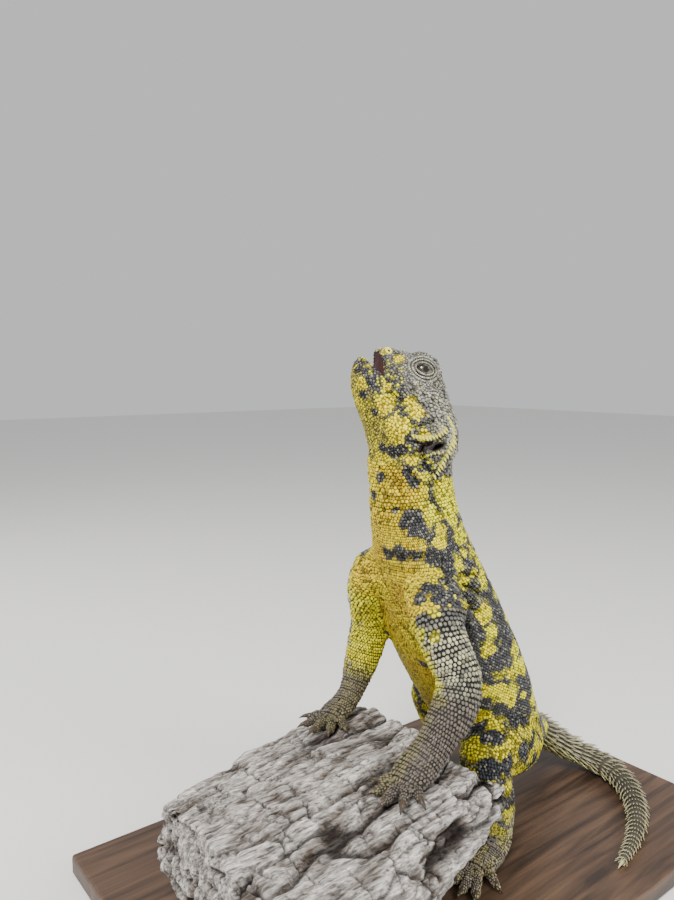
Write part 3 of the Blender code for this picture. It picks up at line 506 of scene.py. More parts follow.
def digits_of(limb, digits, inward, level):
    """The digits of a hand or foot: each one's middle line, way, root, length and level."""
    behind, palm = np.array(limb[-2][:3]), np.array(limb[-1][:3])
    heading = palm - behind
    heading[2] = 0.0
    heading = unit(heading)
    out = []
    for turn, length in digits:
        c, s = math.cos(math.radians(turn * inward)), math.sin(math.radians(turn * inward))
        way = np.array([heading[0] * c - heading[1] * s, heading[0] * s + heading[1] * c, 0.0])
        start = behind * 0.4 + palm * 0.6 + way * 3.0
        line = []
        for share, rise, width in ((0.15, 1.6, 1.0), (0.6, 1.8, 0.9), (1.0, 0.7, 0.78), (1.12, 0.5, 0.6)):
            place = start + way * length * share
            place[2] = level + rise + 0.4 * width
            line.append((*place, 1.75 * width))
        out.append({"line": line, "way": way, "start": start, "length": length, "level": level})
    return out


def head_line():
    """The head's middle line, from the neck to the snout."""
    line = []
    for forward, radius in (
        (-2.0, 16.5), (6.0, 16.8), (13.0, 16.5), (20.0, 15.0), (27.0, 12.5), (33.0, 9.5), (38.0, 6.0),
    ):
        height = 0.2 - 0.12 * max(forward - 15.0, 0.0)
        line.append((*from_head([0.0, -forward, height]), radius))
    return line


def course(name, line, row, rounds, across, sign=1):
    """A line for scales: the step between rows, scales in a round, where a round starts, and their lean."""
    return {"name": name, "line": line, "row": row, "round": rounds, "across": across, "sign": sign}


DIGITS = (
    digits_of(ARM_LEFT, HAND_DIGITS, 1, ARM_LEFT[-1][2] - PALM_THICKNESS)
    + digits_of(ARM_RIGHT, HAND_DIGITS, -1, ARM_RIGHT[-1][2] - PALM_THICKNESS)
    + digits_of(LEG_LEFT, FOOT_DIGITS, 1, FOOT_LEVEL)
    + digits_of(LEG_RIGHT, FOOT_DIGITS, -1, FOOT_LEVEL)
)
LIMB_LINES = [
    course("arm", dense(ARM_LEFT), 1.45, 34, (1, 0, 0)),
    course("arm", dense(ARM_RIGHT), 1.40, 36, (1, 0, 0)),
    course("leg", dense(LEG_LEFT), 1.10, 56, (1, 0, 0)),
    course("leg", dense(LEG_RIGHT), 1.10, 56, (0, 1, 0)),
]
LINES = [
    course("trunk", dense(TRUNK[:9]), 0.95, 150, (1, 0, 0), -1),
    course("neck", dense(TRUNK[8:]), 1.15, 84, (1, 0, 0), -1),
    course("head", dense(head_line()), 1.0, 88, (1, 0, 0), -1),
    *LIMB_LINES,
    course("tail", dense([row[:4] for row in TAIL]), 1.3, 26, (0, 1, 0.3)),
]
LINES += [course("digit", digit["line"], 1.0, 10, np.cross(digit["way"], (0, 0, 1))) for digit in DIGITS]
NAMES = np.array([entry["name"] for entry in LINES])
TRUNK_INDEX, HEAD_INDEX = 0, 2
TRUNK_LINE = dense(TRUNK)


def follow(points, line, across):
    """For each point: distance along a line, turn round it, clearance from its radius and its heading."""
    rows = np.asarray(line, float)
    middles = rows[:, :3]
    nearest = np.empty(len(points), int)
    for first in range(0, len(points), 20000):
        square = (middles ** 2).sum(1)[None] - 2.0 * points[first:first + 20000] @ middles.T
        nearest[first:first + 20000] = square.argmin(1)
    lengths = np.linalg.norm(np.diff(middles, axis=0), axis=1)
    ways = unit(np.diff(middles, axis=0))
    bends = np.vstack([ways[:1], unit(ways[:-1] + ways[1:]), ways[-1:]])
    before = np.concatenate([[0.0], np.cumsum(lengths)])
    best = np.full(len(points), 1e9)
    along, turn, clear = np.zeros(len(points)), np.zeros(len(points)), np.zeros(len(points))
    heading = np.zeros((len(points), 3))
    last = len(rows) - 2
    for shift in (-1, 0):
        i = np.clip(nearest + shift, 0, last)
        raw = ((points - middles[i]) * ways[i]).sum(1) / lengths[i]
        t = np.clip(raw, 0.0, 1.0)
        out = points - middles[i] - (middles[i + 1] - middles[i]) * t[:, None]
        distance = np.linalg.norm(out, axis=1)
        better = distance < best
        best = np.where(better, distance, best)
        way = unit(bends[i] * (1 - t)[:, None] + bends[i + 1] * t[:, None])
        side = unit(np.asarray(across, float) - way * (way @ np.asarray(across, float))[:, None])
        third = np.cross(way, side)
        angle = np.arctan2((out * third).sum(1), (out * side).sum(1))
        radius = rows[i, 3] * (1 - t) + rows[i + 1, 3] * t
        share = np.where((i == 0) & (raw < 0) | (i == last) & (raw > 1), raw, t)
        along = np.where(better, before[i] + lengths[i] * share, along)
        turn = np.where(better, angle, turn)
        clear = np.where(better, distance - radius, clear)
        heading = np.where(better[:, None], way, heading)
    return along, turn, clear, heading


def tail_frames():
    """Places and sizes along the tail's smooth middle line, and the distance along it."""
    tail = np.array(TAIL)
    at = np.linspace(0, len(tail) - 1, 200)
    line = np.stack([np.interp(at, np.arange(len(tail)), tail[:, k]) for k in range(5)], 1)
    for _ in range(60):
        line[1:-1] = line[1:-1] * 0.5 + (line[:-2] + line[2:]) * 0.25
    return line, distances(line[:, :3])


def tail_tube():
    """The tail's flesh as a closed tube: points in the row frame and triangles."""
    line = tail_frames()[0][::3]
    steps, sides = len(line), 16
    rings = []
    for i in range(steps):
        way = unit(line[min(i + 1, steps - 1), :3] - line[max(i - 1, 0), :3])
        side = unit(np.cross(way, (0, 0, 1)))
        up = np.cross(side, way)
        start = line[i, :3] - way * (6.0 if i == 0 else 0.0)
        wide, tall = line[i, 3], line[i, 4]
        for j in range(sides):
            c, s = on_circle(j, sides)
            rings.append(start + side * c * wide * 0.9 + up * s * tall * 0.9)
    faces = tube_faces(steps, sides)
    last = (steps - 1) * sides
    for j in range(1, sides - 1):
        faces += [(0, j + 1, j), (last, last + j, last + j + 1)]
    return to_row(rings), np.array(faces)


def smoothing(points):
    """How much each point of the skin is evened out: less on the face, the digits and the tail's end."""
    local = to_head(points)
    at_face = (local[:, 1] < -8.0) & (local[:, 1] > -45.0)
    at_face &= (np.abs(local[:, 0]) < 22) & (np.abs(local[:, 2]) < 24)
    face = at_face * (1.0 - ramp(np.abs(local[:, 1] + 26.0), 10.0, 18.0))
    fine = np.zeros(len(points))
    for line in [digit["line"] for digit in DIGITS] + [dense([row[:4] for row in TAIL[4:]])]:
        fine = np.maximum(fine, 1.0 - ramp(follow(points, line, (1, 0, 0.1))[2], 0.5, 3.0))
    return 1.0 - 0.75 * fine - 0.6 * face * (1 - fine)


def limb_seams(points):
    """How near each point of the skin lies to a limb's seam with the trunk: 1 on it."""
    trunk = follow(points, TRUNK_LINE, (1, 0, 0))[2]
    seam = np.zeros(len(points))
    for entry in LIMB_LINES:
        limb = follow(points, entry["line"], (1, 0, 0))[2]
        seam = np.maximum(seam, (1.0 - ramp(np.abs(limb), 1.0, 6.0)) * (1.0 - ramp(np.abs(trunk), 2.0, 8.0)))
    return seam


def make_skin():
    """The animal's whole skin as one surface, smooth where the frame's faces are flat."""
    skin = remeshed("skin", [node_part(name) for name in FLESH] + [tail_tube()], SKIN_VOXEL, 0.22)
    mesh = skin.data
    points = from_row(arrays_of(mesh)[0])
    pairs = edge_pairs(mesh)
    points = smoothed(points, pairs, smoothing(points), SMOOTHING_ROUNDS)
    # the limbs flow into the trunk instead of standing on it
    seam = limb_seams(points)
    for _ in range(int(9 / SKIN_VOXEL ** 2)):
        points += (seam * 0.55)[:, None] * (neighbour_mean(points, pairs, len(points)) - points)
    put_points(mesh, points)
    normals = normals_of(mesh)
    settle_creases(points)
    points = points + normals * folds(points)[:, None]
    settle_creases(points)
    put_points(mesh, points)
    shade_smooth(mesh)
    return skin


def near_path(points, path):
    """Distance to a broken line and share of the way along it."""
    path = np.array(path, float)
    best = np.full(len(points), 1e9)
    share = np.zeros(len(points))
    for i in range(len(path) - 1):
        way = path[i + 1] - path[i]
        t = np.clip((points - path[i]) @ way / max(way @ way, 1e-9), 0.0, 1.0)
        distance = np.linalg.norm(points - path[i] - t[:, None] * way, axis=1)
        better = distance < best
        best = np.where(better, distance, best)
        share = np.where(better, (i + t) / (len(path) - 1), share)
    return best, share


def settle_creases(points):
    """Lays the creases' paths on the skin as it now is."""
    tree = kd_tree(points)
    for index, (path, depth, width) in enumerate(CREASES):
        path = np.array(path)
        places = np.linspace(0.0, len(path) - 1.0, 7)
        spread = np.stack([np.interp(places, np.arange(len(path)), path[:, k]) for k in range(3)], 1)
        CREASES[index] = (np.array([points[tree.find(place)[1]] for place in spread]), depth, width)


def at_creases(points):
    """For each crease: the points' distance to it, its strength beside them, its depth and width."""
    for path, depth, width in CREASES:
        distance, share = near_path(points, path)
        yield distance, ramp(share, 0.0, 0.2) * (1.0 - ramp(share, 0.8, 1.0)), depth, width


def in_crease(points):
    """How deep each point lies in a crease of the skin: 1 at its bottom."""
    deep = np.zeros(len(points))
    for distance, fade, depth, width in at_creases(points):
        deep = np.maximum(deep, fade * np.clip(depth, 0.4, 0.9) / 0.9 * hump(distance, width * 0.9))
    return deep


def eye_frame(side):
    """Middle of an eye, where it looks, and the long and short ways of its opening, on the head."""
    look = unit(mirrored(EYE_LOOK, side))
    long_way = np.array([0.0, math.cos(LID_TURN), math.sin(LID_TURN)])
    long_way = unit(long_way - look * (long_way @ look))
    short_way = np.cross(look, long_way)
    return mirrored(EYE, side), look, long_way, short_way * np.sign(short_way[2])


def lid_reach(local, side):
    """How far out over an eye's lids each point on the head lies: 0 at the opening, 1 at their edge."""
    middle, look, long_way, short_way = eye_frame(side)
    rel = local - middle
    a, b = rel @ long_way, rel @ short_way
    angle = np.arctan2(b / LID_REACH[1], a / LID_REACH[0])
    inner = np.hypot(LID_OPENING[0] * np.cos(angle), LID_OPENING[1] * np.sin(angle))
    outer = np.hypot(LID_REACH[0] * np.cos(angle), LID_REACH[1] * np.sin(angle))
    share = (np.hypot(a, b) - inner) / (outer - inner)
    return np.where(rel @ look > -1.0, share, 9.0)


def near_eyes(local):
    """How far out over the nearer eye's lids each point on the head lies."""
    return np.minimum(lid_reach(local, 1), lid_reach(local, -1))


def folds(points):
    """How far folds, lips and creases lift or sink the skin, in millimetres."""
    local = to_head(points)
    lift = np.zeros(len(points))
    # the mouth's line, with a lip above and below it, and its fold behind the corner
    forward = -local[:, 1]
    away = local[:, 2] - on_curve(forward, SHUT_LINE)
    shut = ramp(forward, 9.0, 16.0) * (1.0 - ramp(forward, 27.0, 29.5)) * (np.abs(local[:, 0]) > 3.0)
    lift -= 0.75 * shut * hump(away, 0.45)
    lift += 0.28 * ramp(forward, 12.0, 18.0) * (hump(away - 1.5, 0.7) + hump(away + 1.6, 0.7))
    # creases, each with a soft ridge along both sides
    for distance, fade, depth, width in at_creases(points):
        wide = fade * (0.6 + 0.4 * fade)
        lift -= depth * 1.5 * wide * hump(distance, width)
        lift += depth * 0.9 * wide * hump(distance - width * 2.1, width)
    # loose skin on the neck
    along = follow(points, TRUNK_LINE, (1, 0, 0))[0]
    loose = ramp(along, 96.0, 112.0) * (1.0 - ramp(along, 150.0, 158.0))
    lift += 0.50 * loose * clouds(points * np.array([0.5, 0.5, 1.0]), 4.2, 3.0)
    lift += 0.22 * (1.0 - loose) * clouds(points, 7.5, 9.0)
    lift *= ramp(near_eyes(local), 0.7, 1.4)
    return np.clip(lift, -1.8, 1.7)


def patches(points, table, ragged):
    """How deep each point lies in some patches with ragged edges, and how near to one it is."""
    deep, near = np.zeros(len(points)), np.zeros(len(points))
    for x, y, z, radius in table:
        distance = np.linalg.norm(points - np.array([x, y, z]), axis=1) / radius
        deep = np.maximum(deep, 1.0 - ramp(distance + 0.32 * ragged, 0.72, 1.12))
        near = np.maximum(near, 1.0 - ramp(distance, 1.0, 2.3))
    return deep, near


def mouth_inside(local):
    """Which points on the head lie in the open mouth."""
    forward, height, aside = -local[:, 1], local[:, 2], np.abs(local[:, 0])
    between = (height < on_curve(forward, UPPER_LIP) + 0.6) & (height > on_curve(forward, LOWER_LIP) - 0.6)
    return (forward > 21.0) & (forward < 37.5) & (aside < on_curve(forward, MOUTH_WIDTH) - 1.5) & between


def in_ear(local, grow=1.0):
    """Which points on the head lie in an ear's opening."""
    aside = ((np.abs(local[:, 0]) - 17.0) / 4.8) ** 2
    out = np.zeros(len(local), bool)
    for back, height, tall in EAR_SLOTS:
        out |= aside + ((local[:, 1] - back) / 1.3) ** 2 + ((local[:, 2] - height) / tall) ** 2 < grow
    return out


def from_nostril(local):
    """The distance of points on the head to the nearer nostril."""
    return np.minimum(*(np.linalg.norm(local - mirrored(NOSTRIL, side), axis=1) for side in (-1, 1)))


def arm_place(points):
    """Distance along the nearer arm, how far on its outer side, and whether it is the left one."""
    left = points[:, 0] > 0
    spans = [follow(points, entry["line"], (1, 0, 0)) for entry in LIMB_LINES[:2]]
    reach = np.where(left, spans[0][0], spans[1][0])
    outer = np.where(left, np.cos(spans[0][1]), -np.cos(spans[1][1]))
    return reach, outer, left


def hide_fields(points):
    """The noise and patches over the hide that the colours of every part are made from."""
    warp = np.stack([clouds(points, 5.0, seed) for seed in (20.0, 31.0, 42.0)], 1)
    moved = points + warp * 1.8
    small = cells(moved, 3.2, 8.0)
    ragged = clouds(points, 2.4, 64.0)
    bright, near_bright = patches(points, BRIGHT_PATCHES, ragged)
    dark, near_dark = patches(points, DARK_PATCHES, ragged)
    return SimpleNamespace(
        points=points, moved=moved, clump=cells(moved, 9.0, 5.0)[:, 0], speck=small[:, 0],
        net=small[:, 1] - small[:, 0], grain=clouds(points, 1.5, 50.0), ragged=ragged,
        broad=clouds(points, 13.0, 60.0), bright=bright, dark=dark, near_bright=near_bright,
        known=np.maximum(near_bright, near_dark), marks=1.5 * bright - 1.7 * dark, crease=in_crease(points),
    )


def trunk_paint(field, on_neck):
    """Clumps of yellow in a charcoal net, orange yellow and finely drawn below, greyer on the back."""
    grain, ragged, broad, bright = field.grain, field.ragged, field.broad, field.bright
    # the turn round the trunk is about 90 degrees on the back and -90 on the belly
    back = np.sin(follow(field.points, TRUNK_LINE, (1, 0, 0))[1])
    belly, dorsal = ramp(-back, 0.35, 0.78), ramp(back, 0.50, 0.88)
    value = 0.47 + 0.42 * belly - 0.17 * dorsal + 0.02 * on_neck + 0.05 * broad - field.clump
    value = (value * 2.6 + 0.45 * ragged) * (1.0 - 0.6 * field.known)
    value = value - 0.22 * field.near_bright * (1.0 - belly) * ~on_neck
    value = value + 0.12 * on_neck * (1 - dorsal) + field.marks
    net = mix(CHARCOAL, GREY, 0.28 + 0.55 * dorsal + 0.3 * grain)
    light = mix(mix(YELLOW, BRIGHT, 0.55 + 0.5 * grain), ORANGE, belly * (0.70 + 0.4 * broad))
    light = mix(mix(light, [0.74, 0.55, 0.006], 0.35 * bright), CREAM, 0.55 * dorsal)
    colour = net + (light - net) * ramp(value, -0.22, 0.24)[:, None]
    squiggle = 1.0 - ramp(np.abs(clouds(field.points * np.array([1.0, 1.0, 1.6]), 2.6, 70.0)), 0.03, 0.16)
    colour = mix(colour, colour * 0.28, belly * 0.62 * squiggle)
    dash = 1.0 - ramp(field.speck + 0.10 * ragged, 0.10, 0.26)
    dash = dash * (0.25 + 0.6 * on_neck) * (1.0 - bright) * ramp(broad, -0.4, 0.3)
    colour = mix(colour, CHARCOAL * 1.5, dash)
    # darker down in the creases: painted shade
    return mix(colour, colour * 0.30, field.crease * 0.9)


def head_paint(field, local):
    """Yellow sides with a grey net, grey above with painted shade of wrinkles, and a striped throat."""
    points, grain, ragged, bright, dark = field.points, field.grain, field.ragged, field.bright, field.dark
    forward, height = -local[:, 1], local[:, 2]
    net = 1.0 - ramp(field.net + 0.15 * grain, 0.06, 0.40)
    value = 0.22 - 0.95 * net * (1.0 - 0.6 * bright) - 0.4 * ramp(height, -4.0, 5.0)
    value = value + 0.4 * ragged + field.marks
    face = mix(GREY, CHARCOAL, 0.50 + 0.5 * dark)
    warm = mix(mix(YELLOW, BRIGHT, 0.45 + 0.5 * grain), [0.78, 0.56, 0.006], 0.50 * bright)
    face = face + (warm - face) * ramp(value, -0.35, 0.3)[:, None]
    above = mix(GREY, PALE, 0.44 + 0.38 * grain + 0.2 * field.broad)
    above = mix(above, YELLOW, 0.05 + 0.14 * clouds(points, 5.0, 80.0))
    # dark lines where the crown wrinkles: painted shade of grooves that the surface lacks, with dark mottle
    drawn_out = np.stack([local[:, 0], local[:, 1] * 0.45, height], 1)
    wrinkle = 1.0 - ramp(np.abs(clouds(drawn_out, 2.6, 72.0)), 0.02, 0.17)
    above = mix(above, [0.060, 0.052, 0.062], 0.75 * wrinkle + 0.30 * ragged)
    crown = ramp(height + 0.10 * forward, 3.5, 9.0) + 0.4 * ramp(height, -3.0, 3.0)
    face = mix(face, above, np.clip(crown, 0, 1) * (1.0 - 0.9 * bright))
    # darker down in the creases: painted shade
    face = mix(face, face * 0.35, field.crease * 0.8)
    stripes = 0.5 + 0.5 * np.sin(forward * 3.4 + 2.0 * clouds(points, 4.0, 90.0))
    throat = mix(YELLOW, ORANGE, np.full(len(points), 0.3)) * (0.55 + 0.45 * stripes)[:, None]
    return mix(face, throat, ramp(-height, 9.0, 13.0) * 0.6 * (1 - dark))


def arm_paint(field, trunk):
    """Pale domes on charcoal outside, yellow inside, brown grey hands. The trunk's colours run into them."""
    ragged = field.ragged
    reach, outer, left = arm_place(field.points)
    low = np.where(left, ramp(reach, 27.0, 39.0), ramp(reach, 40.0, 51.0))
    inside = -outer + np.where(left, 0.45, 1.5) * ragged + 1.3 * field.bright - field.dark + 0.6 * ~left
    inside = ramp(inside, -0.15, 0.45) * (1.0 - 0.93 * low)
    arm = mix([0.036, 0.038, 0.044], [0.075, 0.065, 0.055], low)
    arm = mix(arm, mix(YELLOW, ORANGE, 0.25 + 0.3 * field.broad) * 0.8, inside)
    upper = left * ramp(reach, 8.0, 14.0) * (1.0 - 0.5 * ramp(reach, 22.0, 32.0)) + 0.5 * ~left
    domes = mix([0.16, 0.15, 0.12], [0.56, 0.54, 0.34], upper)
    domes = mix(mix(domes, [0.130, 0.108, 0.085], low), BRIGHT, inside * 0.85)
    domes = mix(domes, arm * 1.3, 0.22 + 0.9 * ragged)
    start = ramp(reach, 1.5, 6.5)
    arm, domes = mix(trunk, arm, start), mix(trunk * 1.1 + 0.008, domes, start)
    # darker down in the creases: painted shade
    return mix(arm, arm * 0.35, field.crease * 0.8), domes


def leg_paint(field):
    """Mottled yellow and charcoal, grey green behind the shank, brown grey feet."""
    points = field.points
    value = (0.56 - cells(field.moved, 7.0, 15.0)[:, 0]) * 2.4 + 0.6 * field.ragged
    value = value * (1.0 - 0.8 * field.known) - 0.1 * field.known + field.marks
    leg = mix(CHARCOAL, mix(YELLOW, ORANGE, 0.15 + 0.2 * field.broad), ramp(value, -0.22, 0.24))
    shin = ramp(-points[:, 2], -24.0, -14.0)
    behind = shin * ramp(points[:, 1], -34.0, -27.0) * 0.8
    leg = mix(leg, mix(GREY, [0.30, 0.30, 0.13], 0.5 + 0.5 * field.ragged), behind)
    leg = mix(leg, mix(BROWN, CREAM, 0.16 + 0.2 * field.grain), ramp(-points[:, 2], -13.0, -5.0) * 0.85)
    # scale tops lighter than the leg's hide: painted light on the raised tops
    return leg, leg * 1.2 + 0.015 + 0.10 * shin[:, None]


def tail_paint(field):
    """Grey brown hide between the tail's spines."""
    hide = mix(mix(GREY, BROWN, 0.45 + 0.3 * field.grain), CREAM, 0.16 + 0.16 * field.broad)
    return hide, hide * 1.2


def paint(points, kind):
    """The hide's colour at each point and the colour of a scale's top there."""
    names = NAMES[kind]
    on_head, on_neck, on_digit = names == "head", names == "neck", names == "digit"
    on_hand = on_digit & (points[:, 2] > 40.0)
    field, local = hide_fields(points), to_head(points)
    trunk = trunk_paint(field, on_neck)
    colour = np.where(on_head[:, None], head_paint(field, local), trunk)
    # a scale's top a little lighter than the hide at its base: painted light on the raised tops
    top = colour * 1.10 + 0.008
    for chosen, (hide, tops) in (
        ((names == "arm") | on_hand, arm_paint(field, trunk)),
        ((names == "leg") | on_digit & ~on_hand, leg_paint(field)),
        (names == "tail", tail_paint(field)),
    ):
        colour, top = np.where(chosen[:, None], hide, colour), np.where(chosen[:, None], tops, top)
    gums = mix([0.30, 0.095, 0.085], [0.10, 0.03, 0.03], 0.5 + 0.5 * field.grain)
    inner = on_head & mouth_inside(local)
    colour[inner] = gums[inner]
    # the ear's opening painted dark: painted shade in the hollow
    colour[in_ear(local) & (on_head | on_neck)] = (0.050, 0.028, 0.026)
    # the nostrils painted near black: painted shade in the holes
    colour[from_nostril(local) < 1.1] = (0.012, 0.010, 0.009)
    return np.clip(colour, 0.004, 0.95), np.clip(top, 0.004, 0.95)


def place_scales(points, faces, kind, along, turn):
    """Staggered rows of places over the skin: where each lies, its size both ways and its line."""
    found = []
    for index, entry in enumerate(LINES):
        mine = faces[(kind[faces] == index).sum(1) >= 2]
        if not len(mine) or entry["name"] in ("head", "tail"):
            continue
        rounds = entry["round"]
        u = along[index][mine] / entry["row"]
        v = turn[index][mine] / (2 * math.pi) * rounds
        v = v - np.round((v - v[:, :1]) / rounds) * rounds
        corner = points[mine]
        e1, e2 = corner[:, 1] - corner[:, 0], corner[:, 2] - corner[:, 0]
        du1, du2 = u[:, 1] - u[:, 0], u[:, 2] - u[:, 0]
        dv1, dv2 = v[:, 1] - v[:, 0], v[:, 2] - v[:, 0]
        det = du1 * dv2 - du2 * dv1
        safe = np.where(np.abs(det) > 1e-9, det, 1e-9)
        size_u = np.linalg.norm(e1 * dv2[:, None] - e2 * dv1[:, None], axis=1) / np.abs(safe)
        size_v = np.linalg.norm(e2 * du1[:, None] - e1 * du2[:, None], axis=1) / np.abs(safe)
        first_row = np.ceil(u.min(1))
        for di in range(3):
            row = first_row + di
            offset = np.where(row % 2 == 0, 0.0, 0.5)
            first = np.ceil(v.min(1) - offset)
            for dj in range(3):
                place = first + dj + offset
                pu, pv = row - u[:, 0], place - v[:, 0]
                b1 = (pu * dv2 - pv * du2) / safe
                b2 = (pv * du1 - pu * dv1) / safe
                good = (b1 >= 0) & (b2 >= 0) & (b1 + b2 < 1) & (np.abs(det) > 1e-9)
                at = corner[good, 0] + e1[good] * b1[good, None] + e2[good] * b2[good, None]
                found.append((at, size_u[good], size_v[good], np.full(good.sum(), index)))
    return [np.concatenate(column) for column in zip(*found)]


def thinned(at, reach):
    """Keeps the places that aren't too close to one kept before."""
    tree = kd_tree(at)
    keep = np.ones(len(at), bool)
    for i, place in enumerate(at):
        if keep[i]:
            for _, j, _ in tree.find_range(place, reach[i]):
                if j > i:
                    keep[j] = False
    return keep


def scattered(points, faces, chosen, density, rng):
    """Random places over some of the skin's faces, and the skin's vertex that each lies next to."""
    mine = faces[chosen]
    corner = points[mine]
    area = np.linalg.norm(np.cross(corner[:, 1] - corner[:, 0], corner[:, 2] - corner[:, 0]), axis=1) / 2
    count = rng.poisson(area * density)
    which = np.repeat(np.arange(len(mine)), count)
    r1, r2 = np.sqrt(rng.random(len(which))), rng.random(len(which))
    share = np.stack([1 - r1, r1 * (1 - r2), r1 * r2], 1)
    at = (corner[which] * share[..., None]).sum(1)
    shuffle = rng.permutation(len(at))
    return at[shuffle], mine[which, 0][shuffle]


def only(keep, *arrays):
    return [array[keep] for array in arrays]


def head_spacing(local):
    """The size of scales on the head: largest on the cheeks and crown, small at eyes, lips and throat."""
    forward, height = -local[:, 1], local[:, 2]
    size = np.where(near_eyes(local) < 2.2, 0.85, 1.30)
    at_lips = (np.abs(height - on_curve(forward, LIP_LINE)) < 3.0) & (forward > 14.0)
    size = np.where(at_lips, 1.0, size)
    return np.where((forward > 31.0) | (height < -10.5), 0.95, size)


def coat_places(skin, lips, rng):
    """Rows on trunk and limbs, plates on the head and fillers: each place, its size both ways, its line."""
    rows = np.array([entry["row"] for entry in LINES])
    at, size_u, size_v, which = place_scales(skin.points, skin.faces, skin.kind, skin.along, skin.turn)
    size_u = np.clip(size_u, 0.6 * rows[which], 1.5 * rows[which])
    size_v = np.clip(size_v, 0.6 * rows[which], 1.7 * rows[which])
    least = np.minimum(size_u, size_v)
    at = at + rng.normal(0.0, 0.07, (len(at), 3)) * least[:, None]
    placed = only(thinned(at, least * 0.60), at, size_u, size_v, which)

    on_head = (skin.kind[skin.faces] == HEAD_INDEX).sum(1) >= 2
    spots = np.concatenate([lips, scattered(skin.points, skin.faces, on_head, 9.0, rng)[0]])
    spacing = head_spacing(to_head(spots))
    spots, spacing = only(thinned(spots, spacing * 0.86), spots, spacing)
    plates = spots, spacing * 0.98, spacing * 0.98, np.full(len(spots), HEAD_INDEX)
    placed = [np.concatenate(pair) for pair in zip(placed, plates)]

    # places that no row reaches
    taken = kd_tree(placed[0])
    off_tail = NAMES[skin.kind[skin.faces[:, 0]]] != "tail"
    spots, vertex = scattered(skin.points, skin.faces, off_tail, 5.0, rng)
    line = skin.kind[vertex]
    reach = np.where(line == HEAD_INDEX, 1.0, rows[line])
    far = np.array([taken.find(place)[2] for place in spots]) > reach * 0.80
    spots, line, reach = only(far, spots, line, reach)
    spots, line, reach = only(thinned(spots, reach * 0.80), spots, line, reach)
    return [np.concatenate(pair) for pair in zip(placed, (spots, reach, reach, line))]


def make_coat(skin, lips):
    """Every scale on the skin: where it lies, how it is turned, its size and its colours."""
    rng = np.random.default_rng(7)
    at, size_u, size_v, which = coat_places(skin, lips, rng)
    nearest = np.array([skin.near.find(place)[1] for place in at])
    local, names = to_head(at), NAMES[which]
    keep = (near_eyes(local) > 0.96) & (from_nostril(local) > 1.7) & ~mouth_inside(local) & (names != "tail")
    keep &= ~(in_ear(local, 1.25) & np.isin(names, ("head", "neck")))
    at, size_u, size_v, which, nearest, names = only(keep, at, size_u, size_v, which, nearest, names)

    normal = skin.normals[nearest]
    heading = skin.headings[which, nearest] * np.array([entry["sign"] for entry in LINES])[which][:, None]
    way = unit(heading - normal * (heading * normal).sum(1)[:, None])
    side = np.cross(normal, way)
    swing = rng.normal(0.0, 0.13, len(at))[:, None]
    way, side = way * np.cos(swing) + side * np.sin(swing), side * np.cos(swing) - way * np.sin(swing)
    grow = rng.uniform(0.88, 1.14, len(at))
    rise = np.array([SCALE_RISE[name] for name in names]) * np.minimum(size_u, size_v)
    rise = rise * rng.uniform(0.8, 1.2, len(at))
    colour, top = speckled(at, names, *paint(at, which), rng)
    return {
        "at": at, "way": way, "side": side, "normal": normal, "length": size_u * grow * 1.04,
        "width": size_v * grow * 0.98, "rise": rise, "tilt": np.where(names == "head", 0.06, 0.15),
        "colour": colour, "top": top, "tone": rng.random(len(at)), "uv": skin.uv[nearest], "which": which,
    }


def speckled(at, names, colour, top, rng):
    """Single scales that differ: dark ones in the yellow, pale ones in the dark."""
    chance = rng.random(len(at))
    yellow = ramp(top[:, 0] - top[:, 2], 0.05, 0.30)
    back = np.sin(follow(at, TRUNK_LINE, (1, 0, 0))[1])
    dusky = np.where(names == "head", 0.07, 0.06 + 0.13 * ramp(back, -0.6, 0.3))
    dusky = np.where(names == "leg", 0.24, dusky)
    darker = (chance < dusky * yellow)[:, None]
    mottled = np.isin(names, ("trunk", "neck", "leg", "head"))
    paler = (chance > 1.0 - 0.26 * (1.0 - yellow) * mottled)[:, None]
    colour, top = np.where(darker, colour * 0.25, colour), np.where(darker, top * 0.30, top)
    pale = np.array([0.34, 0.33, 0.26]) * rng.uniform(0.5, 1.1, len(at))[:, None]
    return colour, np.where(paler, top * 0.45 + pale * 0.6, top)


def scale_shape():
    """A domed scale of size 1 and its triangles: an outline below the skin, a shoulder and a peak."""
    shape = [(a, b, -0.35) for a, b in OUTLINE]
    shape += [(a * 0.74 + 0.05, b * 0.74, 0.72) for a, b in OUTLINE]
    shape.append((0.10, 0.0, 1.0))
    sides = len(OUTLINE)
    faces = tube_faces(2, sides) + [(sides + j, sides + (j + 1) % sides, 2 * sides) for j in range(sides)]
    faces += [(0, j + 1, j) for j in range(1, sides - 1)]
    return np.array(shape), faces


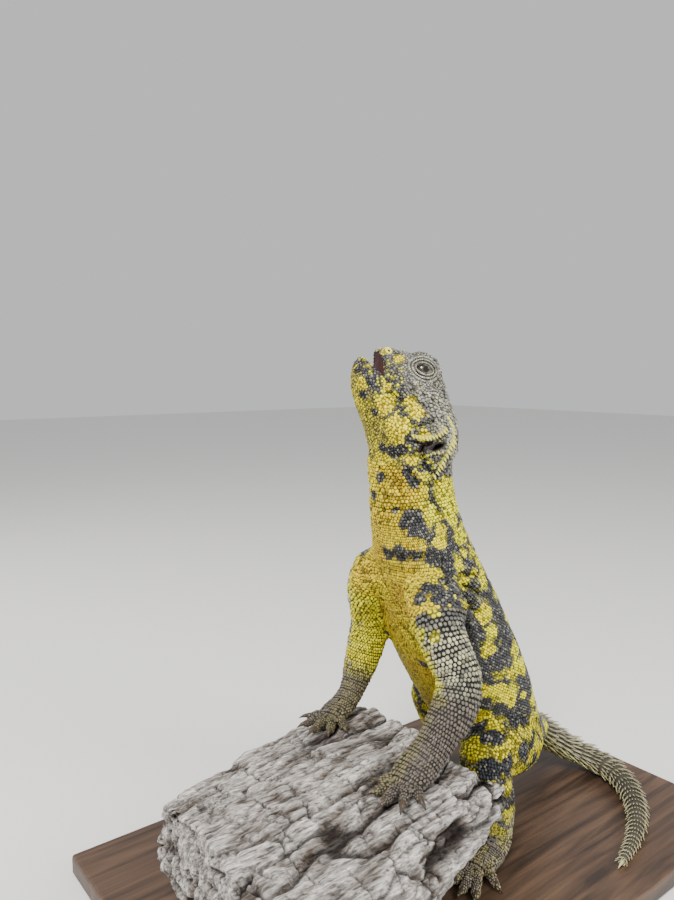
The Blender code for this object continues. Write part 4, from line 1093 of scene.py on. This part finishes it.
def scale_mesh(name, scales, pick):
    """Scales joined into one mesh. Each leans back over the next."""
    mine = SimpleNamespace(**{key: values[pick] for key, values in scales.items()})
    shape, faces = scale_shape()
    count, corners = len(mine.at), len(shape)
    along, across, high = shape[:, 0], shape[:, 1], shape[:, 2]
    tall = high[None] * mine.rise[:, None] + (high > 0) * along * (mine.length * mine.tilt)[:, None]
    points = (
        mine.at[:, None]
        + mine.way[:, None] * (along[None] * mine.length[:, None])[..., None]
        + mine.side[:, None] * (across[None] * mine.width[:, None])[..., None]
        + mine.normal[:, None] * tall[..., None]
    )
    every = copies(faces, corners, count)
    obj = mesh_from(name, to_row(points.reshape(-1, 3)), every)
    # base in the hide's colour, shoulder and peak in the lighter top colour: painted light on the tops,
    # painted shade at the base
    blend = np.where(high < 0, 0.0, np.where(high < 0.9, 0.7, 1.0))[None, :, None]
    set_colours(obj, (mine.colour[:, None] * (1 - blend) + mine.top[:, None] * blend).reshape(-1, 3))
    set_number(obj, "height", np.clip(np.tile(high, count), 0.0, 1.0))
    set_number(obj, "tone", np.repeat(mine.tone, corners))
    patch = np.repeat(mine.uv, corners, axis=0) + np.tile(shape[:, :2] * 0.0026, (count, 1))
    put_uv(obj, patch, every)
    return obj


def spikes(name, rows, colours, tips, skin_uv, sides=7, rings=5):
    """Bent, tapered horns joined into one mesh, with a colour at the root and one at the tip.

    A row starts with a horn's root, its way, the way that it bends to, its length and radius.
    """
    roots, ways, leans, lengths, radii = (np.array(column, float) for column in list(zip(*rows))[:5])
    ways, leans, count = unit(ways), unit(leans), len(rows)
    pick = np.where(np.abs(ways[:, 2:3]) > 0.9, np.array([[1.0, 0.0, 0.0]]), np.array([[0.0, 0.0, 1.0]]))
    side = unit(np.cross(ways, pick))
    third = np.cross(ways, side)
    points, shares = [], []
    for i in range(rings):
        share = -0.25 + 1.25 * i / rings
        ahead = max(share, 0.0)
        middle = roots + ways * (lengths * (share - 0.18 * ahead ** 2))[:, None]
        middle = middle + leans * (lengths * 0.42 * ahead ** 2)[:, None]
        width = (radii * (1.0 - ahead) ** 0.75)[:, None]
        for j in range(sides):
            c, s = on_circle(j, sides)
            points.append(middle + side * width * c + third * width * s)
            shares.append(ahead)
    points.append(roots + ways * (lengths * 0.82)[:, None] + leans * (lengths * 0.42)[:, None])
    shares.append(1.0)
    corners, last = len(points), (rings - 1) * sides
    faces = tube_faces(rings, sides)
    faces += [(last + j, last + (j + 1) % sides, corners - 1) for j in range(sides)]
    faces += [(0, j + 1, j) for j in range(1, sides - 1)]
    every = copies(faces, corners, count)
    obj = mesh_from(name, to_row(np.stack(points, 1).reshape(-1, 3)), every)
    share = np.tile(np.array(shares), count)
    blend = share[:, None] ** 0.8
    colours, tips = np.repeat(colours, corners, axis=0), np.repeat(tips, corners, axis=0)
    set_colours(obj, colours * (1 - blend) + tips * blend)
    # the stored height darkens each horn towards its root through the material: painted shade where it meets
    # the skin
    set_number(obj, "height", np.clip(share + 0.35, 0.0, 1.0))
    set_number(obj, "tone", np.repeat(np.linspace(0.2, 0.8, count), corners))
    spread = np.stack([share, np.tile(np.arange(corners) / corners, count)], 1) - 0.5
    put_uv(obj, np.repeat(skin_uv, corners, axis=0) + spread * 0.0028, every)
    return obj


def fresh_material(name):
    material = bpy.data.materials.new(name)
    material.use_nodes = True
    tree = material.node_tree
    return material, tree, tree.nodes["Principled BSDF"]


def feed(tree, node, inputs):
    """Sets a node's inputs: another node's output is linked, anything else is a plain value."""
    for key, value in inputs.items():
        if isinstance(value, bpy.types.NodeSocket):
            tree.links.new(value, node.inputs[key])
        else:
            node.inputs[key].default_value = value


def add_node(tree, kind, inputs, output):
    """A new shader node with its inputs set, by one of its outputs."""
    node = tree.nodes.new(f"ShaderNode{kind}")
    feed(tree, node, inputs)
    return node.outputs[output]


def stored(tree, name, output="Fac"):
    """A colour or number that the mesh stores under a name."""
    node = tree.nodes.new("ShaderNodeAttribute")
    node.attribute_name = name
    return node.outputs[output]


def grain(tree, size, stretch=(1.0, 1.0, 1.0), turn=0.0, **settings):
    """Noise over the object, stretched and turned, with the noise node's other inputs by name."""
    place = add_node(tree, "TexCoord", {}, "Object")
    laid = {"Vector": place, "Rotation": (0.0, 0.0, turn), "Scale": stretch}
    place = add_node(tree, "Mapping", laid, "Vector")
    return add_node(tree, "TexNoise", {"Vector": place, "Scale": size, **settings}, "Fac")


def ranged(tree, value, low, high, start=0.0, end=1.0):
    """A value from start to end taken to low to high."""
    inputs = {"Value": value, "From Min": start, "From Max": end, "To Min": low, "To Max": high}
    return add_node(tree, "MapRange", inputs, "Result")


def product(tree, first, second):
    node = tree.nodes.new("ShaderNodeMath")
    node.operation = "MULTIPLY"
    feed(tree, node, {0: first, 1: second})
    return node.outputs["Value"]


def shaded(tree, colour, value):
    """A colour made lighter or darker."""
    return add_node(tree, "HueSaturation", {"Color": colour, "Value": value}, "Color")


def between(tree, value, first, last):
    """A colour between two, each given with the value that it stands at."""
    node = tree.nodes.new("ShaderNodeValToRGB")
    for element, (position, colour) in zip(node.color_ramp.elements, (first, last)):
        element.position = position
        element.color = (*colour, 1.0)
    feed(tree, node, {"Fac": value})
    return node.outputs["Color"]


def bumped(tree, height, distance, strength):
    return add_node(tree, "Bump", {"Height": height, "Distance": distance, "Strength": strength}, "Normal")


def hide_material(name, roughness, relief, with_scales):
    """Hide from the stored colour, with fine grain, and painted shade in the crevices between scales."""
    material, tree, shader = fresh_material(name)
    speck = grain(tree, 1400.0, Detail=3.0)
    colour = shaded(tree, stored(tree, "paint", "Color"), ranged(tree, speck, 0.72, 1.22))
    if with_scales:
        # darker towards each scale's base: painted shade between the scales
        rise = ranged(tree, stored(tree, "height"), 0.22, 1.06, end=0.8)
        spread = ranged(tree, stored(tree, "tone"), 0.74, 1.26)
        colour = shaded(tree, colour, product(tree, rise, spread))
    feed(tree, shader, {
        "Base Color": colour,
        "Roughness": ranged(tree, speck, roughness - 0.08, roughness + 0.12),
        "Normal": bumped(tree, speck, 0.0002, relief),
        "Specular IOR Level": 0.30,
    })
    return material


def eye_material():
    """Wet and clear over the painted iris."""
    material, tree, shader = fresh_material("eye_wet")
    feed(tree, shader, {
        "Base Color": stored(tree, "paint", "Color"), "Roughness": 0.09, "Coat Weight": 1.0,
        "Coat Roughness": 0.03, "IOR": 1.38,
    })
    return material


def bark_material():
    """Cork from the stored colour, with a rough grain and fine dark fibres along it."""
    material, tree, shader = fresh_material("cork_bark")
    turn = math.radians(-12.0)
    rough = grain(tree, 520.0, (1.0, 0.28, 1.0), turn, Detail=8.0, Roughness=0.74)
    fibre = grain(tree, 1300.0, (1.0, 0.10, 1.0), turn, Detail=4.0, Roughness=0.7)
    coarse, fine = ranged(tree, rough, 0.16, 1.50, 0.32, 0.68), ranged(tree, fibre, 0.30, 1.22, 0.36, 0.56)
    feed(tree, shader, {
        "Base Color": shaded(tree, stored(tree, "paint", "Color"), product(tree, coarse, fine)),
        "Roughness": 0.92,
        "Normal": bumped(tree, rough, 0.0018, 1.0),
        "Specular IOR Level": 0.2,
    })
    return material


def wood_material():
    """Dark stained board with long grain."""
    material, tree, shader = fresh_material("stained_wood")
    figure = grain(tree, 260.0, (1.0, 0.07, 1.0), Detail=5.0, Distortion=0.6)
    feed(tree, shader, {
        "Base Color": between(tree, figure, (0.32, (0.030, 0.017, 0.011)), (0.68, (0.115, 0.066, 0.040))),
        "Roughness": ranged(tree, figure, 0.38, 0.56),
        "Normal": bumped(tree, figure, 0.0003, 0.35),
    })
    return material


def steel_material():
    """Brushed round bar."""
    material, tree, shader = fresh_material("brushed_bar")
    feed(tree, shader, {
        "Base Color": (0.45, 0.44, 0.42, 1.0),
        "Roughness": ranged(tree, grain(tree, 900.0, (0.1, 0.1, 3.0)), 0.28, 0.46),
        "Metallic": 1.0,
    })
    return material


def tongue_material():
    """Moist pink with fine bumps."""
    material, tree, shader = fresh_material("tongue_moist")
    fine = grain(tree, 1800.0)
    feed(tree, shader, {
        "Base Color": between(tree, fine, (0.0, (0.36, 0.10, 0.09)), (1.0, (0.62, 0.27, 0.24))),
        "Roughness": 0.32,
        "Normal": bumped(tree, fine, 0.0002, 1.0),
    })
    return material


def floor_material():
    material, tree, shader = fresh_material("pale_floor")
    feed(tree, shader, {"Base Color": (0.80, 0.79, 0.77, 1.0), "Roughness": 0.9})
    return material


def make_eye(side):
    """An eyeball with a slight cornea, its iris painted on."""
    ball = bmesh.new()
    bmesh.ops.create_uvsphere(ball, u_segments=64, v_segments=48, radius=1.0)
    mesh = bpy.data.meshes.new("eye")
    ball.to_mesh(mesh)
    ball.free()
    points, faces = arrays_of(mesh)
    bpy.data.meshes.remove(mesh)
    middle, look, long_way, _ = eye_frame(side)
    facing = points @ unit(look + long_way * 0.14)
    bulge = 1.0 + 0.06 * ramp(facing, 0.72, 0.97)
    local = points * EYE_RADIUS * 0.995 * bulge[:, None] + middle
    obj = mesh_from(f"eyeball_{side_name(side)}", to_row(from_head(local)), faces)
    spin = np.arccos(np.clip(facing, -1, 1))
    iris = mix([0.050, 0.035, 0.025], [0.016, 0.012, 0.010], 0.5 + 0.6 * clouds(points * 3.0, 0.35, 7.0))
    iris = mix(iris, [0.14, 0.10, 0.055], hump(spin - 0.33, 0.035) * 0.8)
    iris = mix(iris, [0.012, 0.010, 0.010], ramp(spin, 0.62, 0.80))
    set_colours(obj, mix([0.003, 0.003, 0.003], iris, ramp(spin, 0.285, 0.315)))
    return obj


def side_name(side):
    return "left" if side > 0 else "right"


def lid_surface(side, shares, sides, tree):
    """Rings over an eye's lids on the head, draped over the ball and skin: their places and heights."""
    middle, look, long_way, short_way = eye_frame(side)
    high = 14.0
    height = np.zeros((len(shares), sides))
    flat = np.zeros((len(shares), sides, 3))
    for i, share in enumerate(shares):
        reach = [LID_OPENING[k] * (1 - share) + LID_REACH[k] * share for k in (0, 1)]
        for j in range(sides):
            c, s = on_circle(j, sides)
            almond = 1.0 - 0.22 * (1 - share) * c ** 4
            flat[i, j] = long_way * reach[0] * c + short_way * reach[1] * s * almond
            place, _ = skin_hit(tree, middle + flat[i, j] + look * high, -look)
            ground = -9.0 if place is None else float((to_head(place) - middle - flat[i, j]) @ look)
            square = LID_BALL ** 2 - float(flat[i, j] @ flat[i, j])
            ball = math.sqrt(max(square, 0.0)) * (1.0 - 0.4 * float(ramp(share, 0.0, 0.5)))
            height[i, j] = max(ball, ground + 0.08)
    for _ in range(5):
        height = (np.roll(height, 1, 1) + np.roll(height, -1, 1) + 2 * height) / 4
        height[2:-1] = height[2:-1] * 0.5 + (height[1:-2] + height[3:]) * 0.25
    return middle + flat, height


def lid_profile(shares):
    """How far the ridges and creases lift each ring of the lids, and how light they make it."""
    lift, tone = np.zeros(len(shares)), np.zeros(len(shares))
    # ridges lighten a ring and creases darken it: the creases' darkening is painted shade
    for folds_here, sign, shade in ((LID_RIDGES, 1.0, 1.0), (LID_CREASES, -1.0, -1.2)):
        for at, size, width in folds_here:
            here = hump(shares - at, width)
            lift, tone = lift + sign * size * here, tone + shade * here
    lift = lift - 0.30 * ramp(shares, 0.93, 1.0)
    lift[0] -= 0.8
    lift[-1] -= 0.7
    return lift, tone


def lid_granules(side, grid, paints):
    """Small scales in rows round the lids, for scale_mesh."""
    rings, sides = grid.shape[:2]
    look = HEAD_TURN @ eye_frame(side)[1]
    at, way, out, size, colours = [], [], [], [], []
    for reach, step in LID_ROWS:
        i = int(round(1 + reach * (rings - 3)))
        loop = np.vstack([grid[i], grid[i, :1]])
        ends = distances(loop)
        for place in np.arange(0.0, ends[-1] - step * 0.4, step):
            j = int(np.searchsorted(ends, place, "right") - 1) % sides
            k = (j + 1) % sides
            share = (place - ends[j]) / (ends[j + 1] - ends[j])
            at.append(grid[i, j] * (1 - share) + grid[i, k] * share)
            way.append(grid[i + 1, j] - grid[i - 1, j])
            out.append(grid[i, k] - grid[i, j - 1])
            size.append(step)
            colours.append(paints[i, j])
    at, way, size = np.array(at), unit(np.array(way)), np.array(size)
    normal = unit(np.cross(np.array(out), way)) * side
    normal *= np.sign(normal @ look)[:, None]
    rng = np.random.default_rng(21 + side)
    colours = np.array(colours) * rng.uniform(0.7, 1.15, len(at))[:, None]
    # each granule darker at its base than at its top: painted shade between the granules
    return {
        "at": at, "way": way, "side": np.cross(normal, way), "normal": normal, "length": size * 0.98,
        "width": size * 0.98, "rise": size * 0.17, "tilt": np.zeros(len(at)), "colour": colours * 0.8,
        "top": np.clip(colours * 1.05, 0, 0.9), "tone": rng.random(len(at)),
        "uv": np.stack([0.90 + 0.08 * rng.random(len(at)), 0.965 + 0.02 * rng.random(len(at))], 1),
    }


def make_lids(side, tree):
    """The folded lids of one eye as a ring of skin, and the small scales along their ridges."""
    rings, sides = 34, 84
    shares = np.concatenate([[0.0], np.linspace(0.0, 1.0, rings - 2), [1.02]])
    places, height = lid_surface(side, shares, sides, tree)
    lift, tone = lid_profile(shares)
    local = places + eye_frame(side)[1] * (height + lift[:, None])[..., None]
    points = from_head(local.reshape(-1, 3))
    faces = np.array(tube_faces(rings, sides))
    lids = mesh_from(f"lids_{side_name(side)}", to_row(points), faces if side < 0 else faces[:, ::-1])
    shade = np.repeat(np.clip(tone, -1.0, 1.0) * 0.5 + 0.5, sides)
    pale = mix(PALE, GREY, 0.18 + 0.4 * clouds(points, 0.9, 55.0))
    pale = mix(pale, YELLOW, 0.04 + 0.12 * clouds(points, 2.5, 56.0))
    # darker where the tone is low: painted shade in the lids' creases, with dark mottle
    colour = mix([0.028, 0.024, 0.034], pale, shade ** 1.5 + 0.55 * clouds(points, 1.9, 57.0) - 0.06)
    colour[:sides] = (0.02, 0.017, 0.016)
    set_colours(lids, colour * 0.8)
    scales = lid_granules(side, points.reshape(rings, sides, 3), colour.reshape(rings, sides, 3))
    return lids, scale_mesh(f"lid_scales_{side_name(side)}", scales, np.arange(len(scales["at"])))


def lip_places(tree):
    """Places along both lips for a row of larger scales."""
    places = []
    for side in (-1, 1):
        for lip, edge in ((UPPER_LIP, 0.95), (LOWER_LIP, -0.95)):
            for forward in np.arange(14.5, 36.0, 1.12):
                height = float(on_curve(forward, lip)) + edge
                place, _ = skin_hit(tree, [30.0 * side, -forward, height], [-side, 0.0, 0.0])
                if place is not None:
                    places.append(place)
    return np.array(places)


def nostril_rings(tree):
    """A raised ring round each nostril."""
    points, faces = [], []
    turns, sides = 28, 10
    for side in (-1, 1):
        aim = unit(mirrored(NOSTRIL_LOOK, side))
        place, _ = skin_hit(tree, mirrored(NOSTRIL, side) + aim * 8.0, -aim)
        middle = from_head(mirrored(NOSTRIL, side)) if place is None else place
        first = unit(np.cross(aim, [0.0, 0.0, 1.0]))
        first, second, out = HEAD_TURN @ first, HEAD_TURN @ np.cross(aim, first), HEAD_TURN @ aim
        faces.append(np.array(tube_faces(turns, sides, closed=True)) + len(points))
        for i in range(turns):
            c, s = on_circle(i, turns)
            radial = first * c * 1.12 + second * s * 0.95
            for j in range(sides):
                c, s = on_circle(j, sides)
                points.append(middle + radial * (1.0 + 0.50 * c) + out * (0.15 + 0.50 * s))
    points = np.array(points)
    ring = mesh_from("nostril_rings", to_row(points), np.vstack(faces))
    set_colours(ring, mix(BRIGHT, CREAM, 0.35 + 0.4 * clouds(points, 0.8, 58.0)))
    return ring


def make_bark(tree):
    """The cork with its long fissures and fibrous ridges, kept below the feet that stand on it."""
    bark = remeshed("cork", [node_part("perch_log")], BARK_VOXEL, 0.0)
    points = from_row(arrays_of(bark.data)[0])
    points = smoothed(points, edge_pairs(bark.data), np.full(len(points), 0.9), 10)
    put_points(bark.data, points)
    normals = normals_of(bark.data)
    way = unit(np.array([-21.0, 97.5, 0.0]))
    side = np.array([way[1], -way[0], 0.0])
    lengthwise, across, high = points @ way, points @ side, points[:, 2]
    drift = clouds(points, 22.0, 2.0) * 6.0
    fibre = np.stack([across + drift, lengthwise * 0.13, high], 1)
    broad, narrow = clouds(fibre, 9.0, 4.0), clouds(fibre, 3.4, 14.0)
    hair, rough = clouds(fibre * np.array([1.0, 0.5, 1.0]), 1.5, 24.0), clouds(points, 5.0, 6.0)
    hill, rib, thread = (
        np.minimum(np.abs(value) * reach, 1.0) for value, reach in ((broad, 3.4), (narrow, 3.2), (hair, 3.0))
    )
    fissure = 1.0 - ramp(np.abs(broad), 0.015, 0.11)
    blocks = cells(np.stack([across * 0.42 + drift * 0.6, lengthwise, high * 0.42], 1), 11.0, 9.0)
    cross = (1.0 - ramp(blocks[:, 1] - blocks[:, 0], 0.01, 0.08)) * ramp(rough, -0.35, 0.15)
    flake = cells(np.stack([across * 0.8, lengthwise * 0.45, high * 0.8], 1), 4.2, 19.0)[:, 0]
    lift = 1.5 * (hill - 0.6) + 0.9 * (rib - 0.6) + 0.4 * (thread - 0.5) + 0.6 * rough
    lift = lift - 1.5 * fissure - 1.5 * cross
    lift -= 0.5 * np.floor(flake * 4.0) / 4.0 * ramp(rough, -0.2, 0.3)
    lift *= 1.0 - 0.6 * ramp(-normals[:, 2], 0.2, 0.8)
    clear = np.array([tree.find_nearest(Vector(place))[3] or 0.05 for place in to_row(points)]) * 1000.0
    sunk, raised = np.minimum(lift, 0.0), np.maximum(lift, 0.0)
    lift = sunk * (0.35 + 0.65 * ramp(clear, 0.3, 5.0)) + raised * ramp(clear, 1.2, 6.0)
    points = points + normals * lift[:, None]
    put_points(bark.data, points)
    shade_smooth(bark.data)
    pale, brown, deep = (0.66, 0.615, 0.57), np.array([0.120, 0.088, 0.068]), (0.018, 0.013, 0.011)
    patch = clouds(np.stack([across, lengthwise * 0.5, points[:, 2]], 1), 8.0, 33.0)
    # paler on the ridges, browner down the grooves: partly the cork's own colour, partly painted light and
    # shade on the relief
    colour = mix(brown, pale, -0.06 + 0.42 * hill + 0.45 * rib + 0.40 * thread + 0.4 * rough + 0.5 * patch)
    # the narrow grooves darker brown: painted shade
    colour = mix(colour, brown * 0.7, (1.0 - ramp(np.abs(narrow), 0.01, 0.09)) * 0.7)
    # the fissures and cross cracks painted near black: painted shade in them
    colour = mix(colour, deep, np.maximum(fissure * 0.9, cross * 0.85))
    set_colours(bark, np.clip(colour, 0.01, 0.9))
    return bark


def put_material(obj, material):
    obj.data.materials.clear()
    obj.data.materials.append(material)


def give(obj, material):
    """Puts a material on a new piece and ties it to the part."""
    put_material(obj, material)
    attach(obj, "root")


def unwrap(kind, along, turn):
    """A place for each skin vertex in the bake map: every line has its own strip."""
    strips = [
        (0.01, 0.66, 0.72, 0.29), (0.75, 0.66, 0.24, 0.29), (0.01, 0.36, 0.47, 0.28),
        (0.50, 0.36, 0.24, 0.28), (0.75, 0.36, 0.24, 0.28), (0.01, 0.09, 0.31, 0.25),
        (0.34, 0.09, 0.31, 0.25), (0.67, 0.09, 0.31, 0.25),
    ]
    strips += [(0.02 + 0.048 * k, 0.01, 0.04, 0.06) for k in range(len(DIGITS))]
    out = np.zeros((len(kind), 2))
    for index, (left, low, wide, tall) in enumerate(strips):
        mine = kind == index
        if mine.any():
            a = along[index][mine]
            out[mine, 0] = left + wide * (a - a.min()) / max(a.max() - a.min(), 1.0)
            out[mine, 1] = low + tall * (turn[index][mine] / (2 * math.pi) + 0.5)
    return out


def tail_spines(draw):
    """Rings of spiny scales down the tail, the side ones longest: rows for spikes, each with its rise."""
    line, lengths = tail_frames()
    steps = [1.0 - 0.45 * i / (WHORLS - 1) for i in range(WHORLS)]
    ends = np.concatenate([[0.0], np.cumsum(steps)]) / sum(steps)
    rows = []
    for i in range(WHORLS):
        shrink = 1.0 - 0.55 * i / WHORLS
        for share, size, most in ((0.30, 0.55, 24), (0.82, 1.0, 22)):
            at = (ends[i] + (ends[i + 1] - ends[i]) * share) * lengths[-1]
            places = (at, at + 1.0, at - 1.0)
            here, ahead, behind = np.stack([np.interp(places, lengths, column) for column in line.T], 1)
            way = unit(ahead[:3] - behind[:3])
            side = unit(np.cross(way, (0, 0, 1)))
            up = np.cross(side, way)
            radius = 0.62 * shrink * (0.8 + 0.2 * size)
            count = int(round(most * (1.0 - 0.35 * i / WHORLS)))
            for k in range(count):
                c, s = on_circle(k + 0.5 * (i % 2), count)
                root = here[:3] + (side * c * here[3] + up * s * here[4]) * 0.93
                out = side * c + up * s
                length = (4.9 if abs(c) > 0.45 else 4.3) * size * shrink * draw.uniform(0.85, 1.15)
                lean = 0.14 if s < -0.35 else 0.60
                # spines under the tail lie flat where it comes down to the base
                if s < -0.35 and here[2] < 12.0:
                    length *= 0.7
                    lean = 0.03
                rows.append((root, out * lean + way, way + out * 0.25, length, radius, s))
    end = line[-1]
    way = unit(end[:3] - line[-8, :3])
    for radius, ahead in ((0.98, -1.2), (0.55, 0.2)):
        rows.append((end[:3] + way * ahead, way, way, 4.2, end[3] * radius, 0.0))
    return rows


def evenly(path, step):
    """Places along a path of points, a step apart."""
    path = np.array(path)
    ends = distances(path)
    at = np.arange(0.0, ends[-1] + 0.01, step)
    return np.stack([np.interp(at, ends, path[:, k]) for k in (0, 1)], 1)


def head_spines(tree, draw):
    """Pointed scales over and under the ears and down the nape, as rows for spikes."""
    rows = []
    behind = HEAD_TURN @ np.array([0.0, 1.0, 0.0])
    for side in (-1, 1):
        outward = HEAD_TURN @ np.array([side, 0.0, 0.0])
        for edge, step, length, radius in (
            (EAR_EDGE, 1.25, 2.1, 0.85), (EAR_LOWER, 1.5, 1.0, 0.6), (NAPE_EDGE, 1.45, 2.3, 0.85),
        ):
            for back, height in evenly(edge, step):
                size = draw.uniform(0.82, 1.15)
                place, normal = skin_hit(tree, [40.0 * side, back, height], [-side, 0.0, 0.0])
                if place is not None:
                    way = normal * 0.6 + outward * 0.3 + behind * 0.7
                    rows.append((place - normal * 0.3, way, behind, length * size, radius * size))
    return rows


def claw_rows():
    """A claw at the end of each digit, as rows for spikes."""
    rows = []
    for digit in DIGITS:
        tip = digit["start"] + digit["way"] * digit["length"] * 0.98
        tip[2] = digit["level"] + 1.45
        down = digit["way"] * 0.5 - np.array([0, 0, 1.1])
        rows.append((tip, digit["way"] + np.array([0, 0, 0.14]), down, 5.0, 1.12))
    return rows


def put_skin():
    """Makes and paints the skin. Returns what the other pieces need of it."""
    skin = make_skin()
    points, faces = arrays_of(skin.data)
    points = from_row(points)
    followed = [follow(points, entry["line"], entry["across"]) for entry in LINES]
    along, turn, clear, headings = (np.array(column) for column in zip(*followed))
    kind = np.argmin(clear, axis=0)
    # the trunk's rows run on over the shoulders and round the tail's root
    for name, reach in (("arm", 5.0), ("tail", 2.5)):
        for index in np.flatnonzero(NAMES == name):
            kind[(kind == index) & (along[index] < reach)] = TRUNK_INDEX
    uv = unwrap(kind, along, turn)
    # the skin between the scales at a third of the hide's colour: painted shade in the gaps between scales
    set_colours(skin, paint(points, kind)[0] * 0.32)
    corners = np.empty(len(skin.data.loops), np.int32)
    skin.data.loops.foreach_get("vertex_index", corners)
    put_uv(skin, uv, corners)
    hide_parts(*FLESH, *TAIL_NODES)
    give(skin, hide_material("hide", 0.6, 0.35, False))
    return SimpleNamespace(
        points=points, faces=faces, normals=normals_of(skin.data), kind=kind, along=along, turn=turn,
        headings=headings, uv=uv, near=kd_tree(points),
        hits=BVHTree.FromPolygons([Vector(place) for place in to_row(points)], faces.tolist()),
    )


def put_scales(skin):
    """The coat of scales, in pieces, and the lids and nostrils with theirs."""
    scales = make_coat(skin, lip_places(skin.hits))
    coat = hide_material("scale_keratin", 0.46, 0.25, True)
    order = np.lexsort((scales["at"][:, 2], scales["which"]))
    for first in range(0, len(order), SCALES_IN_PIECE):
        number = first // SCALES_IN_PIECE + 1
        give(scale_mesh(f"scales_{number}", scales, order[first:first + SCALES_IN_PIECE]), coat)
    lid_hide = hide_material("lid_hide", 0.5, 0.3, False)
    for side in (1, -1):
        lids, granules = make_lids(side, skin.hits)
        give(lids, lid_hide)
        give(granules, coat)
    give(nostril_rings(skin.hits), lid_hide)


def put_spikes(skin):
    """The tail's spines, the pointed scales of the head, and the claws."""
    draw = random.Random(11)
    horn = hide_material("horn_spine", 0.42, 0.2, True)
    rows = tail_spines(draw)
    mottle = clouds(np.array([row[0] for row in rows]), 5.0, 77.0)
    above = mix(mix(GREY, BROWN, 0.2 + 0.5 * mottle), CREAM, 0.48 + 0.35 * mottle)
    below = mix(mix(CREAM, YELLOW, np.full(len(rows), 0.35)), BROWN, 0.12 + 0.35 * mottle)
    body = mix(above, below, 1.0 - ramp(np.array([row[5] for row in rows]), -0.35, 0.25))
    tips = mix(body, CREAM, np.full(len(rows), 0.6))
    give(spikes("tail_spines", rows, body, tips, uv_at(skin, rows)), horn)

    rows = head_spines(skin.hits, draw)
    body = mix(BRIGHT, CREAM, 0.15 + 0.4 * clouds(np.array([row[0] for row in rows]), 2.0, 78.0))
    tips = mix(body, CREAM, np.full(len(rows), 0.3))
    give(spikes("ear_and_nape_spines", rows, body * 0.6, tips, uv_at(skin, rows)), horn)

    rows = claw_rows()
    each = (len(rows), 1)
    body, tips = np.tile((0.100, 0.070, 0.048), each), np.tile((0.040, 0.030, 0.022), each)
    claws = spikes("claws", rows, body, tips, uv_at(skin, rows), 10)
    give(claws, hide_material("claw_horn", 0.3, 0.1, True))


def uv_at(skin, rows):
    """The place in the bake map of the skin at each row's root."""
    return skin.uv[[skin.near.find(row[0])[1] for row in rows]]


def put_eyes():
    wet = eye_material()
    for side, node in ((1, "eye_left"), (-1, "eye_right")):
        eye = make_eye(side)
        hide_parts(node)
        give(eye, wet)


def put_bark_and_stand(skin):
    bark = make_bark(skin.hits)
    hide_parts("perch_log")
    give(bark, bark_material())
    put_material(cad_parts["tongue"], tongue_material())
    put_material(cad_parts["stand_base"], wood_material())
    steel = steel_material()
    for name in ("stand_rod_1", "stand_rod_2"):
        put_material(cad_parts[name], steel)


def area_light(name, place, aim, size, power, colour=(1.0, 1.0, 1.0)):
    """A soft round light, aimed at a height over the row's origin. Only the key light makes highlights."""
    light = bpy.data.lights.new(name, "AREA")
    light.shape = "DISK"
    light.size = size
    light.energy = power
    light.color = colour
    obj = put_in_scene(name, light)
    obj.location = place
    obj.rotation_mode = "QUATERNION"
    obj.rotation_quaternion = (Vector((0.0, 0.0, aim)) - Vector(place)).to_track_quat("-Z", "Y")
    obj.visible_glossy = name == "key"


def make_camera():
    camera = bpy.data.cameras.new("camera")
    camera.lens = CAMERA_LENS
    camera.sensor_width = 36.0
    camera.clip_start = 0.01
    camera.dof.use_dof = False
    holder = put_in_scene("camera", camera)
    turn, down = math.radians(CAMERA_TURN), math.radians(CAMERA_DOWN)
    back = Vector((math.sin(turn) * math.cos(down), -math.cos(turn) * math.cos(down), math.sin(down)))
    holder.rotation_mode = "QUATERNION"
    holder.rotation_quaternion = (-back).to_track_quat("-Z", "Y")
    holder.location = Vector(to_row(CAMERA_PLACE))
    bpy.context.scene.camera = holder


def make_studio():
    """A flat pale floor under an even sky, with three soft lights."""
    floor = mesh_from("floor", [(-3, -3, 0), (3, -3, 0), (3, 3, 0), (-3, 3, 0)], [(0, 1, 2, 3)])
    put_material(floor, floor_material())
    world = bpy.data.worlds.new("studio")
    world.use_nodes = True
    sky = world.node_tree.nodes["Background"]
    feed(world.node_tree, sky, {"Color": (0.93, 0.94, 0.95, 1.0), "Strength": 0.70})
    bpy.context.scene.world = world
    area_light("key", (0.30, -0.50, 0.85), 0.11, 0.35, 12.5, (1.0, 0.98, 0.95))
    area_light("side", (-0.55, -0.45, 0.45), 0.12, 0.5, 2.6)
    area_light("rim", (0.75, 0.25, 0.55), 0.12, 0.4, 6.0)


def main():
    skin = put_skin()
    put_scales(skin)
    put_spikes(skin)
    put_eyes()
    put_bark_and_stand(skin)


main()
make_studio()
make_camera()
